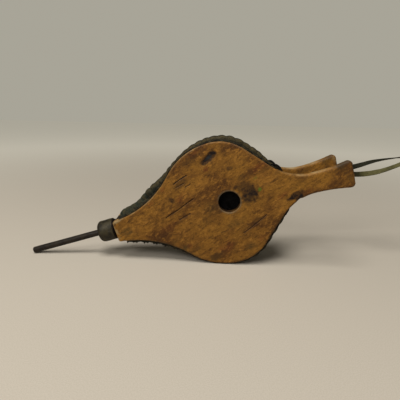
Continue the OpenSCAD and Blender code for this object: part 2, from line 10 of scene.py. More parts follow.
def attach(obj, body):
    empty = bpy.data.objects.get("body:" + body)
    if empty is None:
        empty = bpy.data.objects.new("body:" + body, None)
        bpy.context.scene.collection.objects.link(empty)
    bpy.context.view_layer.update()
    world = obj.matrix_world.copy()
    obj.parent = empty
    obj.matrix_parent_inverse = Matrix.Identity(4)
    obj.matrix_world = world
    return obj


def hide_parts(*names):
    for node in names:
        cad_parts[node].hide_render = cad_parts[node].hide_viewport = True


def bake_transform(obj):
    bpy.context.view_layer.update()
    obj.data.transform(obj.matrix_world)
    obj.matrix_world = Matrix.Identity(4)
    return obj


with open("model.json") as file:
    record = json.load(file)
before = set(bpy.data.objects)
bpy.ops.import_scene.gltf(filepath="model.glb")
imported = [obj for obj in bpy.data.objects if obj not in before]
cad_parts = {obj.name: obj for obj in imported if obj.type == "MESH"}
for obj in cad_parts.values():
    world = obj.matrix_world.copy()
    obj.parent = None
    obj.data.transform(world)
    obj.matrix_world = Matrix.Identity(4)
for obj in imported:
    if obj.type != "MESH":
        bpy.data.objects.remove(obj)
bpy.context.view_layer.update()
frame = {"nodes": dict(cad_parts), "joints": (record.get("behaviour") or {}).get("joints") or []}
scene = bpy.context.scene
scene.view_settings.view_transform = "Standard"
random.seed(7)
print("frame loaded,", len(frame["nodes"]), "CAD nodes")

# the drawing is in millimetres: x from the nose to the handles, y through the boards, z across them
drawing = {
    "hinge": (4.0, -8.45),
    "wedge": 4.5,
    "noseGap": 20.0,
    "boardThick": 11.0,
}
innerFace = drawing["noseGap"] / 2
outerFace = innerFace + drawing["boardThick"]
hoopJoint = next(joint for joint in frame["joints"] if joint["name"] == "hoop_hinge")
tilt = math.atan2(hoopJoint["axis"][0], -hoopJoint["axis"][2])
hingeLine = Vector((*drawing["hinge"], 0))
onBack = (
    Matrix.Translation(hoopJoint["pos_m"])
    @ Matrix.Rotation(-tilt, 4, "Y")
    @ Matrix.Scale(0.001, 4)
    @ Matrix.Translation(-hingeLine)
)


def opened(angle):
    return (
        Matrix.Translation(hingeLine)
        @ Matrix.Rotation(-math.radians(angle), 4, "Z")
        @ Matrix.Translation(-hingeLine)
    )


onFront = onBack @ opened(drawing["wedge"])


# the camera of the photograph, by its place, its turns in degrees and its focal length in pixels
photoView = {
    "place": (0.0155, -0.4643, 0.2267),
    "down": 15.488,
    "left": -1.108,
    "roll": 1.307,
    "focal": 315.56,
    "imageWide": 400,
    "sensorWide": 36.0,
}


def addCamera():
    bpy.ops.object.camera_add(location=photoView["place"])
    camera = bpy.context.object
    camera.name = "photoCamera"
    turn = (
        Matrix.Rotation(math.radians(photoView["left"]), 4, "Z")
        @ Matrix.Rotation(math.radians(90 - photoView["down"]), 4, "X")
        @ Matrix.Rotation(math.radians(photoView["roll"]), 4, "Z")
    )
    camera.rotation_euler = turn.to_euler()
    camera.data.sensor_width = photoView["sensorWide"]
    camera.data.lens = photoView["sensorWide"] * photoView["focal"] / photoView["imageWide"]
    scene.camera = camera


addCamera()
print("camera set")


# working moves on meshes
def setMode(mode):
    bpy.ops.object.mode_set(mode=mode)


def clearSelection():
    if bpy.context.object and bpy.context.object.mode != "OBJECT":
        setMode("OBJECT")
    bpy.ops.object.select_all(action="DESELECT")


def pick(*objects):
    clearSelection()
    for obj in objects:
        obj.select_set(True)
    bpy.context.view_layer.objects.active = objects[0]


def useModifier(obj, kind, **settings):
    pick(obj)
    bpy.ops.object.modifier_add(type=kind)
    modifier = obj.modifiers[-1]
    for name, value in settings.items():
        setattr(modifier, name, value)
    bpy.ops.object.modifier_apply(modifier=modifier.name)


def faceOut(obj):
    pick(obj)
    setMode("EDIT")
    bpy.ops.mesh.select_all(action="SELECT")
    bpy.ops.mesh.normals_make_consistent(inside=False)
    setMode("OBJECT")


def tidyMesh(obj, merge):
    pick(obj)
    setMode("EDIT")
    bpy.ops.mesh.select_all(action="SELECT")
    bpy.ops.mesh.remove_doubles(threshold=merge)
    setMode("OBJECT")
    faceOut(obj)


def remeshed(obj, size):
    pick(obj)
    obj.data.remesh_voxel_size = size
    obj.data.remesh_voxel_adaptivity = 0
    bpy.ops.object.voxel_remesh()


def setDown(obj, where):
    pick(obj)
    obj.matrix_world = where
    bpy.ops.object.transform_apply(location=True, rotation=True, scale=True)


def smoothShade(obj, angle):
    pick(obj)
    bpy.ops.object.shade_smooth_by_angle(angle=math.radians(angle))


def joined(name, pieces):
    pick(*pieces)
    bpy.ops.object.join()
    bpy.context.object.name = name
    return bpy.context.object


def ownCopy(obj, name):
    twin = obj.copy()
    twin.data = obj.data.copy()
    twin.name = name
    scene.collection.objects.link(twin)
    return twin


def meshFrom(name, places, faces):
    mesh = bpy.data.meshes.new(name)
    mesh.from_pydata([tuple(place) for place in places], [], faces)
    obj = bpy.data.objects.new(name, mesh)
    scene.collection.objects.link(obj)
    return obj


def finish(obj, material, slot, body, *nodes):
    obj.data.materials.clear()
    obj.data.materials.append(material)
    if body:
        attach(obj, body)
    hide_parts(*nodes)


def points(obj):
    flat = np.zeros(len(obj.data.vertices) * 3)
    obj.data.vertices.foreach_get("co", flat)
    return flat.reshape(-1, 3)


def setPoints(obj, places):
    obj.data.vertices.foreach_set("co", np.ascontiguousarray(places, dtype=np.float32).ravel())
    obj.data.update()


def normalsOf(obj):
    flat = np.zeros(len(obj.data.vertices) * 3)
    obj.data.vertex_normals.foreach_get("vector", flat)
    return flat.reshape(-1, 3)


# soft lumps of about that size over the places, from -1 to 1
def lump(places, size, seed):
    shift = Vector((seed, seed * 1.7, -seed))
    return np.array([noise.noise(Vector(place) / size + shift) for place in places])


# the same at one place, given by its three numbers
def lumpAt(*place):
    return noise.noise(Vector(place))


def easeIn(value, low, high):
    share = np.clip((value - low) / (high - low), 0, 1)
    return share * share * (3 - 2 * share)


def paint(obj, name, values):
    attribute = obj.data.attributes.new(name, "FLOAT_COLOR", "POINT")
    attribute.data.foreach_set("color", np.ascontiguousarray(values, dtype=np.float32).ravel())


# a rounded line through places of shape (stop, column, axis), with that many steps from each stop to the next
def roundedLine(stops, steps, lastWay=None):
    spans = np.linalg.norm(np.diff(stops, axis=0), axis=-1)[..., None]
    slopes = np.diff(stops, axis=0) / spans
    ways = np.empty_like(stops)
    ways[0] = slopes[0]
    ways[-1] = slopes[-1] if lastWay is None else lastWay
    ways[1:-1] = (slopes[:-1] * spans[1:] + slopes[1:] * spans[:-1]) / (spans[:-1] + spans[1:])
    line = []
    for i, count in enumerate(steps):
        for t in np.arange(count) / count:
            line.append(
                (2 * t**3 - 3 * t**2 + 1) * stops[i]
                + (t**3 - 2 * t**2 + t) * spans[i] * ways[i]
                + (3 * t**2 - 2 * t**3) * stops[i + 1]
                + (t**3 - t**2) * spans[i] * ways[i + 1]
            )
    line.append(stops[-1])
    return np.array(line)


# a tube of rings, closed at both ends
def ringMesh(name, rings):
    count = len(rings)
    sides = len(rings[0])
    faces = []
    for j in range(count - 1):
        for i in range(sides):
            k = (i + 1) % sides
            faces.append((j * sides + i, j * sides + k, (j + 1) * sides + k, (j + 1) * sides + i))
    faces.append(tuple(range(sides - 1, -1, -1)))
    faces.append(tuple(range((count - 1) * sides, count * sides)))
    obj = meshFrom(name, np.array(rings).reshape(-1, 3), faces)
    tidyMesh(obj, 1e-5)
    return obj


# turns a profile of (height, radius) about z, ring by ring
def turned(name, profile, sides):
    clearSelection()
    bpy.ops.mesh.primitive_circle_add(vertices=sides, radius=profile[0][1], fill_type="NOTHING")
    piece = bpy.context.object
    piece.name = name
    setMode("EDIT")
    bpy.ops.mesh.select_mode(type="VERT")
    bpy.ops.mesh.select_all(action="SELECT")
    bpy.ops.transform.translate(value=(0, 0, profile[0][0]))
    for (low, inner), (high, outer) in zip(profile, profile[1:]):
        bpy.ops.mesh.extrude_region_move(TRANSFORM_OT_translate={"value": (0, 0, high - low)})
        bpy.ops.transform.resize(value=(outer / inner, outer / inner, 1), center_override=(0, 0, high))
    setMode("OBJECT")
    tidyMesh(piece, 5e-4)
    return piece


# material nodes
def shade(red, green, blue):
    parts = [c / 255 for c in (red, green, blue)]
    return tuple(p / 12.92 if p <= 0.04045 else ((p + 0.055) / 1.055) ** 2.4 for p in parts) + (1.0,)


def newFinish(name):
    material = bpy.data.materials.new(name)
    material.use_nodes = True
    return material, material.node_tree, material.node_tree.nodes["Principled BSDF"]


def addNode(tree, kind, inputs, **settings):
    node = tree.nodes.new(kind)
    for name, value in settings.items():
        setattr(node, name, value)
    for name, value in inputs.items():
        if isinstance(value, bpy.types.NodeSocket):
            tree.links.new(value, node.inputs[name])
        else:
            node.inputs[name].default_value = value
    return node


def objectCoords(tree, turn=(0, 0, 0)):
    place = addNode(tree, "ShaderNodeTexCoord", {}).outputs["Object"]
    return addNode(tree, "ShaderNodeMapping", {"Vector": place, "Rotation": turn}).outputs["Vector"]


def stretched(tree, place, scale, shift=(0, 0, 0)):
    inputs = {"Vector": place, "Scale": scale, "Location": shift}
    return addNode(tree, "ShaderNodeMapping", inputs).outputs["Vector"]


def cloudy(tree, place, scale, detail=4.0, rough=0.55, distort=0.0):
    inputs = {"Vector": place, "Scale": scale, "Detail": detail, "Roughness": rough, "Distortion": distort}
    return addNode(tree, "ShaderNodeTexNoise", inputs).outputs["Fac"]


def between(tree, value, low, high, toLow=0.0, toHigh=1.0):
    inputs = {"Value": value, "From Min": low, "From Max": high, "To Min": toLow, "To Max": toHigh}
    return addNode(tree, "ShaderNodeMapRange", inputs, interpolation_type="SMOOTHSTEP").outputs["Result"]


def blendColour(tree, share, first, second):
    return addNode(tree, "ShaderNodeMix", {0: share, 6: first, 7: second}, data_type="RGBA").outputs[2]


def sums(tree, way, first, second):
    return addNode(tree, "ShaderNodeMath", {0: first, 1: second}, operation=way).outputs[0]


# the four values painted on a piece's points
def painted(tree, name):
    colour = addNode(tree, "ShaderNodeAttribute", {}, attribute_name=name)
    parts = addNode(tree, "ShaderNodeSeparateColor", {"Color": colour.outputs["Color"]}).outputs
    return parts["Red"], parts["Green"], parts["Blue"], colour.outputs["Alpha"]


# lays the colours of a look over each other, each by its own share
def layered(tree, colour, look, layers):
    for share, name in layers:
        colour = blendColour(tree, share, colour, shade(*look[name]))
    return colour


# gives a shader its colour, roughness and gloss, and a relief of that depth
def dress(tree, shader, colour, rough, gloss, relief, depth, strength):
    bump = addNode(tree, "ShaderNodeBump", {"Height": relief, "Distance": depth, "Strength": strength})
    shader.inputs["Specular IOR Level"].default_value = gloss
    for name, value in (("Base Color", colour), ("Roughness", rough), ("Normal", bump.outputs["Normal"])):
        tree.links.new(value, shader.inputs[name])


woodLook = {
    "grainTurn": 21.0,       # degrees that the grain rises from the line of the bellows
    "mid": (99, 62, 17),
    "pale": (132, 90, 28),
    "deep": (56, 31, 9),
    "pore": (38, 19, 6),
    "gold": (152, 104, 38),
    "red": (112, 57, 20),
    "grime": (50, 41, 18),
    "ash": (86, 78, 60),
    # dark stains, checks and grime, and the painted shade on the intake's wall
    "stainAndShade": (24, 13, 8),
    "worn": (146, 122, 82),
    "bruise": (34, 37, 38),
    "moss": (72, 104, 24),
}


def boardWoodFinish():
    material, tree, shader = newFinish("boardWood")
    grain = objectCoords(tree, (0, tilt + math.radians(woodLook["grainTurn"]), 0))
    tone = cloudy(tree, stretched(tree, grain, (13, 24, 24)), 1.0, 4, 0.6, 0.4)
    blotch = cloudy(tree, stretched(tree, grain, (44, 84, 84), (5, 2, 7)), 1.0, 4, 0.62, 0.5)
    mottle = cloudy(tree, stretched(tree, grain, (130, 230, 230), (1, 8, 3)), 1.0, 4, 0.68, 0.4)
    streak = cloudy(tree, stretched(tree, grain, (55, 400, 400)), 1.0, 5, 0.62, 0.5)
    pores = cloudy(tree, stretched(tree, grain, (420, 1300, 1300)), 1.0, 2, 0.6)
    gold, red, grime, ash = painted(tree, "boardTints")
    dark, worn, bruised, moss = painted(tree, "boardMarks")
    patchy = between(tree, blotch, 0.36, 0.6, 0.45, 1.1)
    breakUp = between(tree, mottle, 0.34, 0.62, 1.15, 0.65)
    layers = [
        (between(tree, tone, 0.36, 0.64), "pale"),
        (between(tree, tone, 0.5, 0.34, 0, 0.5), "deep"),
        (sums(tree, "MULTIPLY", gold, patchy), "gold"),
        (sums(tree, "MULTIPLY", red, patchy), "red"),
        (between(tree, blotch, 0.5, 0.7, 0, 0.5), "deep"),
        (between(tree, mottle, 0.52, 0.72, 0, 0.6), "deep"),
        (between(tree, mottle, 0.49, 0.33, 0, 0.75), "gold"),
        (between(tree, streak, 0.53, 0.7, 0, 0.6), "deep"),
        (between(tree, pores, 0.52, 0.68, 0, 0.62), "pore"),
        (sums(tree, "MULTIPLY", grime, patchy), "grime"),
        (sums(tree, "MULTIPLY", dark, breakUp), "stainAndShade"),
        (sums(tree, "MULTIPLY", worn, patchy), "worn"),
        (ash, "ash"),
        (bruised, "bruise"),
        (moss, "moss"),
    ]
    colour = layered(tree, shade(*woodLook["mid"]), woodLook, layers)
    rough = between(tree, sums(tree, "ADD", streak, mottle), 0.7, 1.3, 0.5, 0.72)
    relief = sums(tree, "ADD", sums(tree, "MULTIPLY", streak, 0.6), sums(tree, "MULTIPLY", pores, -0.4))
    relief = sums(tree, "ADD", relief, sums(tree, "MULTIPLY", mottle, -0.7))
    dress(tree, shader, colour, rough, 0.2, relief, 0.0007, 0.8)
    return material


# the nose block's dark wood, darkened further as painted shade where its neck shows between ferrule and board
blockAndShadeLook = {"mid": (36, 23, 14), "deep": (21, 13, 8), "soot": (13, 9, 6)}


def blockWoodFinish():
    material, tree, shader = newFinish("blockWood")
    grain = objectCoords(tree, (0, tilt, 0))
    streak = cloudy(tree, stretched(tree, grain, (30, 320, 320)), 1.0, 5, 0.6, 0.4)
    soot = cloudy(tree, grain, 120, 4, 0.6)
    layers = [
        (between(tree, streak, 0.4, 0.68), "deep"),
        (between(tree, soot, 0.45, 0.7, 0, 0.7), "soot"),
    ]
    colour = layered(tree, shade(*blockAndShadeLook["mid"]), blockAndShadeLook, layers)
    rough = between(tree, soot, 0.3, 0.7, 0.6, 0.8)
    dress(tree, shader, colour, rough, 0.25, streak, 0.0005, 0.6)
    return material


# the skirt's leather, and the leather of flap and flap strip, made near black as painted shade inside the
# intake
leatherLook = {
    "grain": (48, 41, 24),
    "green": (38, 43, 32),
    # dark: creases, and the painted shade in the skirt's folds; worn: rubbed leather, and the painted
    # highlight on its crests
    "dark": (12, 10, 6),
    "worn": (72, 62, 38),
    "gloss": 0.12,
}
shadedFlapLook = {
    # near black: painted shade for the leather seen inside the intake
    "grain": (9, 7, 6),
    "green": (7, 6, 5),
    "dark": (4, 3, 3),
    "worn": (13, 10, 9),
    "gloss": 0.08,
}


def leatherFinish(name, look):
    material, tree, shader = newFinish(name)
    place = objectCoords(tree)
    pebbles = {"Vector": place, "Scale": 850.0}
    cells = addNode(tree, "ShaderNodeTexVoronoi", pebbles, feature="DISTANCE_TO_EDGE")
    patches = cloudy(tree, place, 42, 5, 0.6, 0.3)
    creases = cloudy(tree, place, 260, 4, 0.6, 1.2)
    rubbed, darkAndShade, cooled = painted(tree, "leatherMarksAndShade")[:3]
    layers = [
        (sums(tree, "MULTIPLY", between(tree, patches, 0.36, 0.6, 0.15, 1.0), cooled), "green"),
        (between(tree, creases, 0.5, 0.68, 0, 0.75), "dark"),
        # rubbed pale, with the painted highlight on the skirt's crests
        (sums(tree, "MULTIPLY", rubbed, between(tree, creases, 0.36, 0.62, 1.2, 0.35)), "worn"),
        # painted shade in the skirt's folds, and dark patches on the welts
        (darkAndShade, "dark"),
    ]
    colour = layered(tree, shade(*look["grain"]), look, layers)
    rough = between(tree, creases, 0.3, 0.7, 0.55, 0.78)
    ridges = between(tree, cells.outputs["Distance"], 0.0, 0.16)
    relief = sums(tree, "ADD", sums(tree, "MULTIPLY", ridges, 0.35), creases)
    dress(tree, shader, colour, rough, look["gloss"], relief, 0.0007, 0.75)
    return material


# the lace has a dark skin side and a pale flesh side
thongLook = {
    "skin": (30, 28, 14),
    "skinDeep": (20, 19, 9),
    "flesh": (82, 77, 46),
    "fleshDeep": (60, 56, 32),
    "fibre": (28, 26, 14),
    # dark: the painted shadow of the handles on the lace
    "dark": (10, 11, 4),
}


def thongFinish():
    material, tree, shader = newFinish("thongLeather")
    place = objectCoords(tree)
    fibre = cloudy(tree, place, 420, 4, 0.6, 0.5)
    patches = cloudy(tree, place, 70, 4, 0.55)
    fleshSide, darkAndShade = painted(tree, "laceSideAndShadow")[:2]
    deepShare = between(tree, patches, 0.4, 0.64)
    skin = layered(tree, shade(*thongLook["skin"]), thongLook, [(deepShare, "skinDeep")])
    flesh = layered(tree, shade(*thongLook["flesh"]), thongLook, [(deepShare, "fleshDeep")])
    layers = [
        (between(tree, fibre, 0.52, 0.72, 0, 0.5), "fibre"),
        # painted shadow of the handles on the lace
        (darkAndShade, "dark"),
    ]
    colour = layered(tree, blendColour(tree, fleshSide, skin, flesh), thongLook, layers)
    rough = between(tree, fibre, 0.3, 0.7, 0.65, 0.85)
    dress(tree, shader, colour, rough, 0.12, fibre, 0.0005, 0.7)
    return material


# the iron of ferrule and tacks, of the rivets inside the intake made near black as painted shade, and of the
# nozzle tube
ironLook = {
    "scale": (57, 50, 31),
    "deep": (29, 24, 12),
    "rust": (70, 48, 22),
    "rubbed": (100, 91, 68),
    "gloss": 0.32,
}
shadedRivetLook = {
    # near black: painted shade for the rivets seen inside the intake
    "scale": (9, 8, 7),
    "deep": (5, 4, 4),
    "rust": (12, 8, 5),
    "rubbed": (12, 10, 9),
    "gloss": 0.05,
}
nozzleLook = {
    "scale": (40, 32, 21),
    "deep": (22, 16, 10),
    "rust": (58, 37, 20),
    "rubbed": (86, 76, 58),
    "gloss": 0.3,
}


def ironFinish(name, look):
    material, tree, shader = newFinish(name)
    place = objectCoords(tree)
    scale = cloudy(tree, place, 95, 5, 0.62, 0.3)
    pits = cloudy(tree, place, 640, 4, 0.6)
    rust = cloudy(tree, place, 210, 5, 0.7, 0.8)
    layers = [
        (between(tree, scale, 0.36, 0.66), "deep"),
        (between(tree, rust, 0.56, 0.72, 0, 0.6), "rust"),
        (between(tree, pits, 0.6, 0.74, 0, 0.35), "rubbed"),
    ]
    colour = layered(tree, shade(*look["scale"]), look, layers)
    shader.inputs["Metallic"].default_value = 0.85 * look["gloss"]
    rough = between(tree, rust, 0.35, 0.7, 0.42, 0.72)
    relief = sums(tree, "ADD", sums(tree, "MULTIPLY", pits, 0.5), scale)
    dress(tree, shader, colour, rough, look["gloss"], relief, 0.0005, 0.6)
    return material


boardWood = boardWoodFinish()
blockWood = blockWoodFinish()
skirtLeather = leatherFinish("skirtLeather", leatherLook)
shadedFlapLeather = leatherFinish("shadedFlapLeather", shadedFlapLook)
shadedRivetIron = ironFinish("shadedRivetIron", shadedRivetLook)
thongLeather = thongFinish()
oldIron = ironFinish("oldIron", ironLook)
nozzleIron = ironFinish("nozzleIron", nozzleLook)
print("finishes made")


# the thong: a flat lace through the back handle, both strands going to one knot
thong = {
    "wide": 8.0,
    "thick": 1.6,
    "sides": 16,
    "steps": 7,
    "uneven": 0.05,         # share by which the width varies, over lumps of that size
    "unevenSize": 9.0,
    # each stop: place in the drawing, and degrees that the lace is twisted there
    "inner": [
        (346, 15.5, -3, 0), (346, 11.5, -3, 0), (347, 9.2, -3.3, 0), (350, 8.6, -4.5, 0),
        (355, 8.5, -7, 0), (361, 8.4, -10, -2), (371, 8.3, -14.8, -4), (382, 8.1, -19, -6),
        (394, 8, -22, -10), (408, 8.1, -24.3, -30), (424, 8.6, -25.3, -54), (440, 9.5, -24.8, -64),
        (457, 10.8, -23.4, -66), (476, 12.9, -21.2, -28), (495, 15.5, -18.5, 0),
    ],
    "outer": [
        (346, 15.5, -3, 0), (346, 19.5, -3, 0), (347, 21.8, -3.2, 0), (350, 22.4, -4, 0),
        (358, 22.4, -6, 0), (367, 22.45, -8, -4), (378, 22.5, -10, -10), (390, 22.6, -11.1, -28),
        (404, 22.5, -11, -50), (420, 22.2, -10.7, -70), (436, 21.5, -11.9, -86), (452, 20.4, -14, -98),
        (468, 19.2, -16.3, -118), (482, 18, -17.6, -154), (495, 17.3, -18.5, -180),
    ],
    "handleShadowTo": (376.0, 402.0),    # painted shadow of the handles: the lace is darkest in the handle and clears along this stretch
}
knot = {
    "middle": (499, 16.4, -18.6),
    "turns": 2.3,
    "steps": 66,
    "round": 4.6,
    "loose": 0.35,
    "long": 8.8,
    "slant": 0.32,
    "halfWide": 0.42,       # share of the lace's width
    "tail": 26.0,
    "tailSteps": 24,
    "tailFrom": 2.0,
    "tailApart": 1.6,
    "tailSpread": 12.0,
    "tailDroop": 2.5,
    "tailLean": 0.15,
}


def bowed(value, power):
    return math.copysign(abs(value) ** power, value)


# a flat section with rounded edges
laceTurns = [2 * math.pi * (k + 0.5) / thong["sides"] for k in range(thong["sides"])]
laceSection = [(bowed(math.cos(a), 0.3), bowed(math.sin(a), 0.55)) for a in laceTurns]


def laceRing(place, wide, thin):
    return [place + u * wide + v * thin for u, v in laceSection]


def laceStrand(name, route, fleshOut):
    route = np.array(route, float)
    steps = [thong["steps"]] * (len(route) - 1)
    line = roundedLine(route[:, None, :3], steps)[:, 0]
    rolls = np.interp(np.linspace(0, len(route) - 1, len(line)), range(len(route)), route[:, 3])
    ways = np.gradient(line, axis=0)
    rings = []
    for place, way, roll in zip(line, ways, np.radians(rolls)):
        way = way / np.linalg.norm(way)
        flat = np.array((0, 0, 1.0)) - way[2] * way
        flat = flat / np.linalg.norm(flat)
        thin = np.cross(way, flat)
        across = flat * math.cos(roll) + thin * math.sin(roll)
        through = thin * math.cos(roll) - flat * math.sin(roll)
        uneven = 1 + thong["uneven"] * noise.noise(Vector(place) / thong["unevenSize"])
        rings.append(laceRing(place, across * thong["wide"] / 2 * uneven, through * thong["thick"] / 2))
    strand = ringMesh(name, rings)
    marks = np.zeros((len(rings), len(laceSection), 4))
    marks[..., 0] = [1.0 if v * fleshOut > 0.2 else 0.0 for u, v in laceSection]
    # painted shadow of the handles, fading along the lace
    marks[..., 1] = (1 - easeIn(line[:, 0], *thong["handleShadowTo"]))[:, None]
    paint(strand, "laceSideAndShadow", marks.reshape(-1, 4))
    setDown(strand, onBack)
    smoothShade(strand, 50)
    return strand, [onBack @ Vector(place) for place in line[:: thong["steps"]]]


def knotWound(middle):
    rings = []
    for k in range(knot["steps"] + 1):
        share = k / knot["steps"]
        turn = 2 * math.pi * knot["turns"] * share
        out = np.array((0, math.cos(turn), math.sin(turn)))
        way = np.array((knot["slant"], -math.sin(turn), math.cos(turn)))
        way = way / np.linalg.norm(way)
        loose = knot["loose"] * math.sin(2.2 * turn)
        along = np.array((-knot["long"] / 2 + knot["long"] * share, 0, 0))
        place = middle + along + out * (knot["round"] + loose)
        across = np.cross(out, way) * thong["wide"] * knot["halfWide"]
        rings.append(laceRing(place, across, out * thong["thick"] / 2))
    return ringMesh("knotWound", rings)


def knotTail(middle, side):
    spread = math.radians(knot["tailSpread"]) * side
    lean = knot["tailLean"] * side
    rings = []
    for k in range(knot["tailSteps"] + 1):
        share = k / knot["tailSteps"]
        far = knot["tailFrom"] + knot["tail"] * share
        droop = knot["tailDroop"] * share**2
        apart = knot["tailApart"] * side
        place = middle + np.array((far * math.cos(spread), apart, far * math.sin(spread) - droop))
        cutOff = 0.5 * share * (share > 0.9)     # the end is cut at a slant
        across = np.array((-math.sin(spread) - cutOff, lean, math.cos(spread)))
        narrow = 0.5 - 0.08 * share
        through = np.array((0, 1, -lean))
        rings.append(laceRing(place, across * thong["wide"] * narrow, through * thong["thick"] / 2))
    return ringMesh("knotTail", rings)


def laceKnot():
    middle = np.array(knot["middle"], float)
    parts = [knotWound(middle), knotTail(middle, -1), knotTail(middle, 1)]
    for part in parts:
        paint(part, "laceSideAndShadow", [(0.25, 0, 0, 0)] * len(part.data.vertices))
    whole = joined("thongKnot", parts)
    setDown(whole, onBack)
    smoothShade(whole, 50)
    return whole


innerStrand, innerRoute = laceStrand("thongInner", thong["inner"], 1)
outerStrand, outerRoute = laceStrand("thongOuter", thong["outer"], -1)
thongKnot = laceKnot()
finish(innerStrand, thongLeather, "thong_leather", "back", "thong_inner_strand")
finish(outerStrand, thongLeather, "thong_leather", "back", "thong_outer_strand")
finish(thongKnot, thongLeather, "thong_leather", "back", "thong_knot")


# the outline of the boards, drawn with a compass as in the part
outline = {
    "length": 360.0,
    "bellyWide": 188.6,
    "bellyAt": 173.0,
    "shoulderRound": 63.0,
    "noseWide": 34.0,
    "flankRound": 153.0,
    "noseCorner": 4.0,
    "neckWide": 30.0,
    "neckAt": 305.0,
    "neckRound": 72.0,
    "flareRound": 250.0,
    "gripCorner": 6.0,
    "nailed": (5, 37),      # the leather is nailed from this step of the outline to that one
    "fine": 3,              # parts that each step is cut in
}


def compassArc(centre, radius, start, end, steps):
    angles = np.linspace(start, end, steps * outline["fine"] + 1)
    return [np.array(centre) + radius * np.array((math.cos(a), math.sin(a))) for a in angles]


def wayTo(start, end):
    return math.atan2(end[1] - start[1], end[0] - start[0])


def outlineHalf():
    belly = outline["bellyWide"] / 2
    bellyMid = np.array((outline["bellyAt"], 0))
    shoulder = outline["shoulderRound"]
    shoulderMid = np.array((outline["bellyAt"], belly - shoulder))
    flank = outline["flankRound"]
    corner = outline["noseCorner"]
    nose = np.array((0, outline["noseWide"] / 2))
    span = np.linalg.norm(bellyMid - nose)
    way = (bellyMid - nose) / span
    alongWay = (flank**2 - (belly + flank) ** 2 + span**2) / (2 * span)
    flankMid = nose + alongWay * way + math.sqrt(flank**2 - alongWay**2) * np.array((-way[1], way[0]))
    cornerDrop = math.sqrt((flank + corner) ** 2 - (corner - flankMid[0]) ** 2)
    cornerMid = np.array((corner, flankMid[1] - cornerDrop))
    neckMid = np.array((outline["neckAt"], outline["neckWide"] / 2 + outline["neckRound"]))
    flareMid = np.array((outline["neckAt"], outline["neckWide"] / 2 + outline["flareRound"]))
    grip = outline["gripCorner"]
    flareTurn = math.asin((outline["length"] - grip - outline["neckAt"]) / (outline["flareRound"] + grip))
    gripWay = np.array((math.sin(flareTurn), -math.cos(flareTurn)))
    gripMid = flareMid + (outline["flareRound"] + grip) * gripWay
    flankFrom = wayTo(flankMid, cornerMid)
    flankTo = wayTo(flankMid, bellyMid)
    neckSpan = np.linalg.norm(neckMid - shoulderMid)
    shoulderTo = wayTo(shoulderMid, neckMid) + math.acos((shoulder + outline["neckRound"]) / neckSpan)
    half = compassArc(cornerMid, corner, math.pi, flankFrom + math.pi, 4)
    half += compassArc(flankMid, flank, flankFrom, flankTo, 14)[1:]
    half += compassArc(bellyMid, belly, flankTo + math.pi, math.pi / 2, 10)[1:]
    half += compassArc(shoulderMid, shoulder, math.pi / 2, shoulderTo, 8)[1:]
    half += compassArc(neckMid, outline["neckRound"], shoulderTo + math.pi, 1.5 * math.pi, 9)
    half += compassArc(flareMid, outline["flareRound"], 1.5 * math.pi, 1.5 * math.pi + flareTurn, 5)[1:]
    half += compassArc(gripMid, grip, math.pi / 2 + flareTurn, 0, 6)[1:]
    return np.array(half)


def mirrored(line):
    return (line * np.array((1, -1)))[::-1]


boardHalf = outlineHalf()
boardLine = np.concatenate([boardHalf, mirrored(boardHalf)])
nailedFrom, nailedTo = (step * outline["fine"] for step in outline["nailed"])
nailedLine = boardHalf[nailedFrom : nailedTo + 2]


def lineLengths(line):
    return np.concatenate([[0], np.cumsum(np.linalg.norm(np.diff(line, axis=0), axis=1))])


def alongLine(line, lengths, d):
    return np.stack([np.interp(d, lengths, line[:, 0]), np.interp(d, lengths, line[:, 1])], axis=-1)


def outwardAt(line, lengths, d, reach):
    way = alongLine(line, lengths, d + reach) - alongLine(line, lengths, d - reach)
    way = way / np.linalg.norm(way, axis=-1, keepdims=True)
    return np.stack([-way[..., 1], way[..., 0]], axis=-1)


nailedLengths = lineLengths(nailedLine)
nailedRun = nailedLengths[-1]


def distanceTo(places, line):
    best = np.full(len(places), 1e9)
    for start, end in zip(line[:-1], line[1:]):
        step = end - start
        share = np.clip(((places - start) @ step) / max(step @ step, 1e-12), 0, 1)
        gap = places - start - share[:, None] * step
        best = np.minimum(best, np.hypot(gap[:, 0], gap[:, 1]))
    return best


